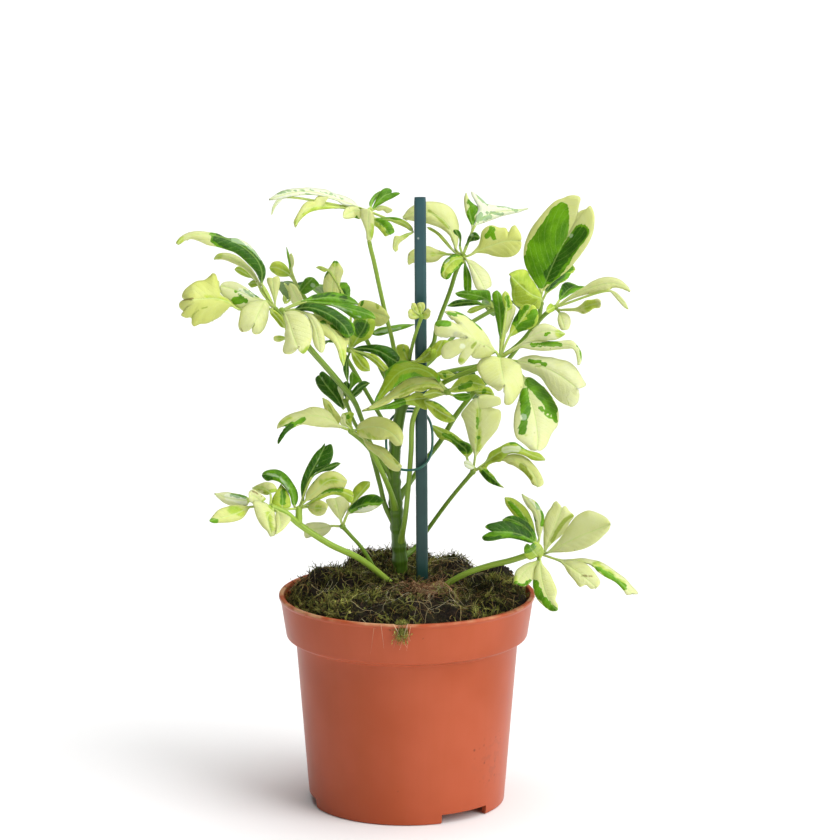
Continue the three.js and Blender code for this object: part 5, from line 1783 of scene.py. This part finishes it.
def pot_material():
    n = Nodes("pot_plastic")
    place = n.node("TexCoord").outputs["Object"]
    z = n.node("SeparateXYZ", {0: place}).outputs[2]
    streaks = n.noise(n.node("Mapping", {"Vector": place, "Scale": (160.0, 160.0, 9.0)}).outputs[0], 1.0, 3.0)
    cloud = n.noise(place, 22.0, 3.0)
    base = n.mix(n.step(cloud, 0.3, 0.7), colour("aa4e2c"), colour("b55839"))
    base = n.mix(n.step(streaks, 0.4, 0.7, 0.0, 0.18), base, colour("a44e24"))
    # Dull specks of dirt low on the right and here and there.
    dirt = n.node("TexVoronoi", {"Vector": place, "Scale": 420.0}, feature="F1")
    pick = n.step(n.node("SeparateXYZ", {0: dirt.outputs["Color"]}).outputs[0], 0.6, 0.75)
    spot = n.times(n.inverse(n.step(dirt.outputs["Distance"], 0.12, 0.4)), pick)
    where = n.inverse(n.step(distance_from(n, place, DIRT_PLACE), 0.004, 0.018))
    blotch = n.step(n.noise(place, 260.0, 3.0), 0.5, 0.66)
    base = n.mix(n.times(n.times(spot, where), 0.6), base, colour("5b3325"))
    base = n.mix(n.times(n.times(blotch, where), 0.25), base, colour("7c4a3a"))
    rare = n.step(n.node("SeparateXYZ", {0: dirt.outputs["Color"]}).outputs[1], 0.985, 0.99)
    base = n.mix(n.times(n.times(spot, rare), 0.6), base, colour("5b3325"))
    # The lip is worn pale in places.
    lip = n.step(z, (POT_HEIGHT - 1.6) * MM, (POT_HEIGHT - 0.3) * MM)
    worn = n.step(n.noise(place, 60.0, 4.0), 0.42, 0.62)
    base = n.mix(n.times(n.times(lip, worn), 0.75), base, colour("d0a67c"))
    n.set(Base_Color=base, Roughness=n.math("MULTIPLY_ADD", cloud, 0.08, 0.3), Specular_IOR_Level=0.18)
    n.set(Subsurface_Weight=0.05, Subsurface_Radius=(1.0, 0.4, 0.2), Subsurface_Scale=0.001)
    n.set(Normal=n.bump(n.noise(place, 900.0, 2.0), 0.04, 0.0003))
    return n.material


def distance_from(n, place, centre):
    point = tuple((np.array(centre) + AXIS / MM) * MM)
    return n.node("VectorMath", {0: place, 1: point}, operation="DISTANCE").outputs["Value"]


# The wall's outline from the middle of its floor over the rim and back inside: radius, height, rounding.
POT_OUTLINE = [
    [0, FLOOR_Z, 0],
    [FOOT_RADIUS - FOOT_RING, FLOOR_Z, 0.6],
    [FOOT_RADIUS - FOOT_RING, 0, 0.5],
    [FOOT_RADIUS, 0, 0.8],
    [BODY_TOP_RADIUS, BAND_LOW_Z - 1.6, 1.2],
    [BAND_LOW_RADIUS, BAND_LOW_Z, 1.0],
    [RIM_RADIUS - 0.3, POT_HEIGHT - 2.2, 0.5],
    [RIM_RADIUS + 0.6, POT_HEIGHT - 1.2, 0.5],
    [RIM_RADIUS + 0.4, POT_HEIGHT, 0.5],
    [RIM_RADIUS - WALL - 0.1, POT_HEIGHT, 0.5],
    [BAND_LOW_RADIUS - WALL, BAND_LOW_Z + WALL, 1.2],
    [BODY_TOP_RADIUS - WALL, BAND_LOW_Z - 0.1, 1.2],
    [FOOT_RADIUS + 0.5 - WALL, FLOOR_Z + WALL, 1.5],
    [0, FLOOR_Z + WALL, 0],
]


def pot_cutter():
    """The drain holes and the notches of the foot ring, to be cut out of the pot."""
    cutter = bmesh.new()
    centre = Vector(AXIS)
    for i in range(DRAINS["count"] + 1):
        turn = 2 * math.pi * i / DRAINS["count"]
        out = DRAINS["on_radius"] if i < DRAINS["count"] else 0
        spot = Vector((out * math.cos(turn), out * math.sin(turn), FLOOR_Z + WALL / 2)) * MM + centre
        size = DRAINS["radius"] * MM
        new = bmesh.ops.create_cone(
            cutter, cap_ends=True, segments=40, radius1=size, radius2=size, depth=3 * WALL * MM
        )
        bmesh.ops.translate(cutter, vec=spot, verts=new["verts"])
    for i in range(FOOT_NOTCHES["count"]):
        turn = math.radians(FOOT_NOTCHES["first"] + 360 / FOOT_NOTCHES["count"] * i)
        new = bmesh.ops.create_cube(cutter, size=1)
        size = Vector((FOOT_NOTCHES["width"], 4 * FOOT_RING, 2 * FOOT_NOTCHES["height"])) * MM
        for vert in new["verts"]:
            p = Vector((vert.co.x * size.x, vert.co.y * size.y - FOOT_RADIUS * MM, vert.co.z * size.z))
            x = p.x * math.cos(turn) - p.y * math.sin(turn)
            y = p.x * math.sin(turn) + p.y * math.cos(turn)
            vert.co = Vector((x, y, p.z)) + centre
    mesh = bpy.data.meshes.new("pot_cutter")
    cutter.to_mesh(mesh)
    cutter.free()
    return linked("pot_cutter", mesh)


def pot():
    line = filled(rounded(POT_OUTLINE), 6)
    sides = 240
    turn = np.linspace(0, 2 * np.pi, sides, endpoint=False)
    inner = line[1:-1]
    wobble = 1 + 0.0016 * np.sin(2 * turn + 0.6)
    points = np.stack(
        [
            inner[:, :1] * wobble * np.cos(turn),
            inner[:, :1] * wobble * np.sin(turn),
            np.repeat(inner[:, 1:], sides, axis=1),
        ],
        axis=-1,
    ).reshape(-1, 3)
    points = np.concatenate([points, [[0, 0, line[0][1]], [0, 0, line[-1][1]]]])
    piece = Piece("pot_shell")
    piece.add(points, capped(len(inner), sides))
    made = piece.make(pot_material(), "pot_plastic", "pot")
    tool = pot_cutter()
    cut = made.modifiers.new("cut", "BOOLEAN")
    cut.operation = "DIFFERENCE"
    cut.solver = "EXACT"
    cut.object = tool
    bpy.context.view_layer.update()
    done = bpy.data.meshes.new_from_object(made.evaluated_get(bpy.context.evaluated_depsgraph_get()))
    made.modifiers.clear()
    made.data = done
    bpy.data.objects.remove(tool)
    done.polygons.foreach_set("use_smooth", [True] * len(done.polygons))
    done.set_sharp_from_angle(angle=math.radians(40))


pot()


# Soil and moss.


def mulberry(seed):
    """Seeded random numbers from 0 to 1, the same row as in the part's source."""
    state = seed
    mask = 0xFFFFFFFF
    while True:
        state = (state + 0x6D2B79F5) & mask
        value = ((state ^ (state >> 15)) * (1 | state)) & mask
        value = ((value + (((value ^ (value >> 7)) * (61 | value)) & mask)) & mask) ^ value
        yield (value ^ (value >> 14)) / 4294967296


def clumps():
    draw = mulberry(CLUMPS["seed"])
    made = []
    for _ in range(CLUMPS["count"]):
        out = MOSS_RADIUS * (0.3 + 0.68 * math.sqrt(next(draw)))
        turn = 2 * math.pi * next(draw)
        size = next(draw)
        high = CLUMPS["low"] + (CLUMPS["high"] - CLUMPS["low"]) * size * min(out / 45, 1)
        wide = CLUMPS["narrow"] + (CLUMPS["wide"] - CLUMPS["narrow"]) * size
        made.append((out * math.cos(turn), out * math.sin(turn), high, wide))
    return made


MOUNDS = clumps()


class Lattice:
    """Smooth random heights over the plane, about -1 to 1."""

    def __init__(self, seed, size):
        self.table = np.random.default_rng(seed).uniform(-1, 1, (64, 64))
        self.size = size

    def __call__(self, x, y):
        x, y = np.asarray(x) / self.size, np.asarray(y) / self.size
        i, j = np.floor(x).astype(int), np.floor(y).astype(int)
        u, v = x - i, y - j
        u, v = u * u * (3 - 2 * u), v * v * (3 - 2 * v)
        t = self.table
        a, b = t[i % 64, j % 64], t[(i + 1) % 64, j % 64]
        c, d = t[i % 64, (j + 1) % 64], t[(i + 1) % 64, (j + 1) % 64]
        return (a * (1 - u) + b * u) * (1 - v) + (c * (1 - u) + d * u) * v


WIDE, MIDDLE, SMALL, TINY = (Lattice(k, size) for k, size in ((11, 14), (12, 6), (13, 2.6), (14, 1.1)))


def soil_top(x, y):
    out = np.minimum(np.hypot(x, y) / MOSS_RADIUS, 1)
    return SOIL_EDGE_Z + SOIL_DOME * (1 - out**3) + SOIL_TILT * y


def moss_top(x, y):
    x, y = np.asarray(x, dtype=float), np.asarray(y, dtype=float)
    rise = np.zeros(np.broadcast(x, y).shape)
    for cx, cy, high, wide in MOUNDS:
        away = np.hypot(x - cx, y - cy) / wide
        rise = np.maximum(rise, high * np.clip(1 - away**2, 0, None))
    return soil_top(x, y) + MOSS_LIFT + rise


def bed_top(x, y):
    rough = 1.3 * MIDDLE(x, y) + 1.0 * SMALL(x, y) + 0.5 * TINY(x, y)
    inside = smooth(0, 5, MOSS_RADIUS - np.hypot(x, y))
    return moss_top(x, y) - 0.8 + rough * (0.35 + 0.65 * inside)


def greenness(x, y):
    """How mossy the ground is at a place: 1 mossy, 0 bare soil and dead roots."""
    mossy = 0.5 + 0.7 * WIDE(x + 40, y) + 0.4 * MIDDLE(x, y + 30)
    for px, py, reach, change in PATCHES:
        mossy = mossy + change * np.exp(-((np.hypot(x - px, y - py) / reach) ** 2))
    return np.clip(mossy, 0, 1)


def ground_disc(piece, height, floor, radius, rings, sectors):
    """A round body with an uneven top and the given [radius, height] rows below it."""
    turn = np.linspace(0, 2 * np.pi, sectors, endpoint=False)
    out = radius * np.sqrt(np.linspace(0, 1, rings + 1)[1:])
    far, around = np.meshgrid(out, turn, indexing="ij")
    x, y = far * np.cos(around), far * np.sin(around)
    top = np.stack([x, y, height(x, y)], axis=-1)
    down = []
    for r, z in floor:
        cx, cy = r * np.cos(turn), r * np.sin(turn)
        down.append(np.stack([cx, cy, z(cx, cy) if callable(z) else np.full(sectors, z)], axis=-1))
    layers = np.concatenate([top, np.array(down)])
    points = layers.reshape(-1, 3)
    centre = [[0, 0, float(height(0.0, 0.0))], [0, 0, points[-1][2]]]
    piece.add(np.concatenate([points, centre]), capped(len(layers), sectors, turned=True))


def ground_material():
    n = Nodes("ground")
    place = n.node("TexCoord").outputs["Object"]
    fine = n.noise(place, 900.0, 4.0, 0.7)
    broad = n.noise(place, 130.0, 3.0)
    base = n.mix(n.step(fine, 0.35, 0.7), colour("0c0906"), colour("2e2216"))
    base = n.mix(n.step(broad, 0.48, 0.7, 0.0, 0.6), base, colour("33361a"))
    n.set(Base_Color=base, Roughness=0.95, Specular_IOR_Level=0.2, Normal=n.bump(fine, 0.8, 0.0015))
    return n.material


def strand_material():
    """Moss shoots, roots and straws: the colour comes with each strand."""
    n = Nodes("strands")
    tint = n.node("Attribute", attribute_name="tint").outputs["Vector"]
    n.set(Base_Color=tint, Roughness=0.75, Specular_IOR_Level=0.25)
    n.set(Subsurface_Weight=0.1, Subsurface_Scale=0.0008)
    return n.material


def strands(piece, paths, radius, tint, tips, sides=3):
    """Many thin tapering tubes at once. paths: strand, step, xyz; tint and tips: colours at both ends."""
    count, steps, _ = paths.shape
    tangent = unit(np.gradient(paths, axis=1))
    guide = np.where(np.abs(tangent[:, :1, 2:3]) < 0.8, [[[0.0, 0.0, 1.0]]], [[[1.0, 0.0, 0.0]]])
    normal = unit(np.cross(tangent, guide))
    binormal = np.cross(tangent, normal)
    turn = np.linspace(0, 2 * np.pi, sides, endpoint=False)
    ring = normal[:, :, None] * np.cos(turn)[:, None] + binormal[:, :, None] * np.sin(turn)[:, None]
    way = np.linspace(0, 1, steps)
    size = np.asarray(radius)[:, None] * (1 - 0.8 * way**2)[None, :]
    points = paths[:, :, None] + ring * size[:, :, None, None]
    first = (np.arange(count) * steps * sides)[:, None, None]
    quads = grid_faces(steps, sides, closed=True)[None] + first
    shade = tint[:, None] * (1 - way[None, :, None]) + tips[:, None] * way[None, :, None]
    shade = np.repeat(shade[:, :, None], sides, axis=2)
    piece.add(points.reshape(-1, 3), [quads.reshape(-1, 4)], tint=shade.reshape(-1, 3))


def leafy(piece, paths, sizes, tint):
    """Tiny pointed leaves round each moss shoot."""
    count, steps, _ = paths.shape
    rng = np.random.default_rng(77)
    way = np.linspace(0.12, 1, SHOOT_LEAVES)
    at = way * (steps - 1)
    low = np.minimum(at.astype(int), steps - 2)
    part = (at - low)[None, :, None]
    base = paths[:, low] * (1 - part) + paths[:, low + 1] * part
    forward = unit(paths[:, low + 1] - paths[:, low])
    turn = np.arange(SHOOT_LEAVES) * 2.4 + rng.uniform(0, 6.3, (count, 1))
    guide = unit(np.cross(forward, rng.normal(size=(count, 1, 3))))
    other = np.cross(forward, guide)
    outward = guide * np.cos(turn)[..., None] + other * np.sin(turn)[..., None]
    wide = np.cross(forward, outward)
    size = np.asarray(sizes)[:, None, None] * (1.1 - 0.45 * way)[None, :, None]
    a = base - wide * size * 0.17
    b = base + wide * size * 0.17
    tip = base + (forward * 0.75 + outward * 0.65) * size
    points = np.stack([a, b, tip], axis=2)
    tris = np.arange(count * SHOOT_LEAVES * 3).reshape(-1, 3)
    shade = tint[:, None] * (0.8 + 0.35 * way[None, :, None])
    shade = np.repeat(shade[:, :, None], 3, axis=2)
    piece.add(points.reshape(-1, 3), [tris], tint=shade.reshape(-1, 3))


def colours(rng, codes, count):
    table = np.array([colour(c) for c in codes])
    picked = table[rng.integers(0, len(table), count)]
    other = table[rng.integers(0, len(table), count)]
    blend = rng.uniform(0, 0.5, (count, 1))
    return (picked * (1 - blend) + other * blend) * rng.uniform(0.75, 1.2, (count, 1))


def scatter(rng, count, radius):
    out = radius * np.sqrt(rng.uniform(0, 1, count))
    turn = rng.uniform(0, 2 * np.pi, count)
    return out * np.cos(turn), out * np.sin(turn)


def shoots(rng, x, y, low, high, lean=0.7):
    """Curved shoots that stand on the bed at x, y."""
    count = len(x)
    foot = np.stack([x, y, bed_top(x, y) - 0.8], axis=-1)
    up = np.stack([-0.1 * x / 30, -0.1 * y / 30, np.ones(count)], axis=-1)
    aim = unit(up + lean * rng.normal(size=(count, 3)) * [1, 1, 0.3])
    length = rng.uniform(low, high, count)
    bend = unit(rng.normal(size=(count, 3)) * [1, 1, 0.6] + [0, 0, -0.3])
    t = np.linspace(0, 1, 5)[None, :, None]
    path = foot[:, None] + length[:, None, None] * (aim[:, None] * t + 0.55 * bend[:, None] * t**2)
    return path


def crawlers(rng, x, y, low, high, lift, steps=11):
    """Curly fibres that wander over the bed."""
    count = len(x)
    heading = rng.uniform(0, 2 * np.pi, count)
    stride = rng.uniform(low, high, count) / (steps - 1)
    curl = rng.normal(0, 0.35, count)
    path = np.zeros((count, steps, 3))
    px, py = x.copy(), y.copy()
    rise = rng.uniform(0.2, 1, count) * lift
    phase = rng.uniform(0, 6.3, count)
    for k in range(steps):
        z = bed_top(px, py) + rise * (0.4 + 0.6 * np.sin(phase + 3.2 * k / steps))
        path[:, k] = np.stack([px, py, z], axis=-1)
        heading = heading + curl + rng.normal(0, 0.35, count)
        px, py = px + np.cos(heading) * stride, py + np.sin(heading) * stride
        far = np.hypot(px, py)
        keep = np.minimum(1, (MOSS_RADIUS - 0.5) / np.maximum(far, 1e-6))
        px, py = px * keep, py * keep
    path[:, 1:-1] = (path[:, :-2] + 2 * path[:, 1:-1] + path[:, 2:]) / 4
    return path


def hanging(rng, count, middle, spread, drop):
    """Strands that come from the moss, lie over the front of the rim and hang down outside the band."""
    feet = middle + rng.uniform(-spread, spread, count)
    ends = feet + rng.normal(0, spread * 0.5, count)
    fall = rng.uniform(0.4, 1, count) * drop
    outside = RIM_RADIUS + 1.4
    stops = []
    for way, far, high in (
        (0, MOSS_RADIUS - 4, POT_HEIGHT - 4),
        (0.2, MOSS_RADIUS, POT_HEIGHT + 0.6),
        (0.4, RIM_RADIUS - 0.6, POT_HEIGHT + 1.0),
        (0.6, outside, POT_HEIGHT - 0.6),
        (0.8, outside, POT_HEIGHT - 0.6 - fall * 0.5),
        (1, outside + 0.2, POT_HEIGHT - 0.6 - fall),
    ):
        x = feet + (ends - feet) * way + rng.normal(0, 0.4, count)
        stops.append(np.stack([x, -np.sqrt(far**2 - x**2), np.zeros(count) + high], axis=-1))
    return np.array([catmull(path, 3) for path in np.stack(stops, axis=1)])


def crumbs(piece, rng, x, y, sizes):
    base = np.array([[1, 0, 0], [-1, 0, 0], [0, 1, 0], [0, -1, 0], [0, 0, 1], [0, 0, -1]], dtype=float)
    tris = np.array([[0, 2, 4], [2, 1, 4], [1, 3, 4], [3, 0, 4], [2, 0, 5], [1, 2, 5], [3, 1, 5], [0, 3, 5]])
    count = len(x)
    shape = base[None] * rng.uniform(0.5, 1, (count, 6, 1)) * rng.uniform(0.6, 1, (count, 1, 3))
    shape = shape + rng.normal(0, 0.15, (count, 6, 3))
    centre = np.stack([x, y, bed_top(x, y)], axis=-1)
    points = centre[:, None] + shape * sizes[:, None, None]
    faces = tris[None] + (np.arange(count) * 6)[:, None, None]
    dark = colours(rng, ("17120c", "2a1f14", "3a2a1a", "0f0c08"), count)
    shade = np.repeat(dark[:, None], 6, axis=1).reshape(-1, 3)
    piece.add(points.reshape(-1, 3), [faces.reshape(-1, 3)], tint=shade)


def ground():
    earth = ground_material()
    soil = Piece("potting_soil_body")
    inner = BODY_TOP_RADIUS - WALL - 0.6
    floor = [
        (inner, BAND_LOW_Z - 1),
        (FOOT_RADIUS - WALL - 0.4, FLOOR_Z + WALL + 0.3),
        (5, FLOOR_Z + WALL + 0.3),
    ]
    ground_disc(soil, soil_top, floor, radius=55, rings=30, sectors=120)
    soil.make(earth, "soil", "potting_soil")
    bed = Piece("moss_bed")
    under = [
        (MOSS_RADIUS + 0.1, lambda x, y: bed_top(x, y) - 1.5),
        (MOSS_RADIUS - 1.2, lambda x, y: soil_top(x, y) + 0.3),
        (5, lambda x, y: soil_top(x, y) + 0.3),
    ]
    ground_disc(bed, bed_top, under, radius=MOSS_RADIUS, rings=90, sectors=240)
    bed.make(earth, "moss", "moss")


def moss_shoots(look, rng):
    moss = Piece("moss_shoots", "tint")
    x, y = scatter(rng, 9000, MOSS_RADIUS - 0.5)
    keep = rng.uniform(0, 1, len(x)) < greenness(x, y)
    x, y = x[keep][:SHOOTS], y[keep][:SHOOTS]
    path = shoots(rng, x, y, low=2.5, high=5.5)
    greens = colours(rng, ("5a5a22", "757636", "8d9046", "45451c", "a5a15c", "33371a"), len(x))
    greens = greens * (0.85 + 0.75 * MIDDLE(x + 9, y))[:, None].clip(0.2, 1.6)
    strands(moss, path, rng.uniform(0.16, 0.28, len(x)), greens * 0.2, greens * 1.4)
    leafy(moss, path, rng.uniform(1.0, 1.7, len(x)), greens * 1.2)
    moss.make(look, "moss", "moss", flat=True)


# Fibres that crawl over the bed, by kind: how many, how far round which place, whether they keep to mossy
# ground, least and greatest length, lift, least and greatest radius, and colours.
FIBRES = (
    (1500, MOSS_RADIUS - 1, (0, 0), True, (8, 22), 2.6, (0.1, 0.2),
     ("6e5530", "8a7040", "4d3720", "b09c68", "2f2114", "4c4a22", "86863f")),
    (400, 9, (10, -24), False, (8, 16), 5, (0.12, 0.2), ("8a6748", "a57e5a", "5d4028", "bd9772")),
    (150, MOSS_RADIUS - 3, (0, 0), False, (14, 30), 4, (0.07, 0.13), ("b9ab7e", "a7966a", "d0c7a4")),
)


def moss_fibres(look, rng):
    fibres = Piece("moss_fibres", "tint")
    for count, radius, place, mossy, lengths, lift, radii, codes in FIBRES:
        x, y = scatter(rng, count, radius)
        if mossy:
            keep = rng.uniform(0, 1, len(x)) < 0.2 + 0.8 * greenness(x, y)
            x, y = x[keep], y[keep]
        path = crawlers(rng, x + place[0], y + place[1], *lengths, lift)
        tint = colours(rng, codes, len(x))
        strands(fibres, path, rng.uniform(*radii, len(x)), tint, tint)
    roots = hanging(rng, 8, middle=-5, spread=11, drop=14)
    reds = colours(rng, ("d9a88c", "e6c0a6", "c48a6c"), len(roots))
    strands(fibres, roots, rng.uniform(0.18, 0.24, len(roots)), reds, reds)
    tuft = hanging(rng, 60, middle=-2, spread=2.5, drop=8)
    greens = colours(rng, ("5a5a22", "757636", "8d9046"), len(tuft))
    strands(fibres, tuft, rng.uniform(0.12, 0.2, len(tuft)), greens * 0.5, greens)
    leafy(fibres, tuft, rng.uniform(1.4, 2.4, len(tuft)), greens * 1.3)
    fibres.make(look, "moss", "moss")


def soil_crumbs(look, rng):
    bits = Piece("soil_crumbs", "tint")
    x, y = scatter(rng, 1600, MOSS_RADIUS - 1.5)
    crumbs(bits, rng, x, y, rng.uniform(0.4, 1.5, len(x)))
    bits.make(look, "soil", "moss", flat=True)


ground()
STRANDS = strand_material()
DRAWS = np.random.default_rng(21)
moss_shoots(STRANDS, DRAWS)
moss_fibres(STRANDS, DRAWS)
soil_crumbs(STRANDS, DRAWS)


# Floor, light and camera.


def stage():
    mesh = bpy.data.meshes.new("floor")
    far = 40.0
    low = -0.0002
    corners = [(-far, -far, low), (far, -far, low), (far, far, low), (-far, far, low)]
    mesh.from_pydata(corners, [], [(0, 1, 2, 3)])
    floor = linked("floor", mesh)
    n = Nodes("floor_paper")
    n.set(Base_Color=(0.95, 0.95, 0.95, 1), Roughness=0.9, Specular_IOR_Level=0.1)
    mesh.materials.append(n.material)
    world = bpy.data.worlds.new("studio")
    world.use_nodes = True
    back = world.node_tree.nodes["Background"]
    back.inputs["Color"].default_value = (1, 1, 1, 1)
    back.inputs["Strength"].default_value = 0.13
    bpy.context.scene.world = world
    # Suns: name, where they shine from, strength, and how wide they look in degrees.
    lamps = (
        ("key", (0.9, -0.6, 0.58), 1.75, 44),
        ("top", (0.2, 0.0, 1.0), 2.75, 66),
    )
    box = bpy.data.lights.new("softbox", "AREA")
    box.shape = "RECTANGLE"
    box.size = 0.7
    box.size_y = 1.5
    box.energy = 5
    made = linked("softbox", box)
    made.location = (1.25, -1.3, 0.75)
    turned_away(made, made.location - Vector((0, 0, 0.16)))
    for name, place, strength, spread in lamps:
        sun = bpy.data.lights.new(name, "SUN")
        sun.energy = strength
        sun.angle = math.radians(spread)
        turned_away(linked(name, sun), place)


def camera():
    data = bpy.data.cameras.new("camera")
    data.sensor_width = SENSOR
    data.lens = LENS
    data.clip_start = 0.05
    data.clip_end = 200
    made = linked("camera", data)
    made.location = CAMERA_FROM * MM + AXIS
    turned_away(made, CAMERA_FROM - CAMERA_TO)
    bpy.context.scene.camera = made


stage()
camera()
bpy.context.scene.view_settings.view_transform = "Standard"
bpy.context.view_layer.update()
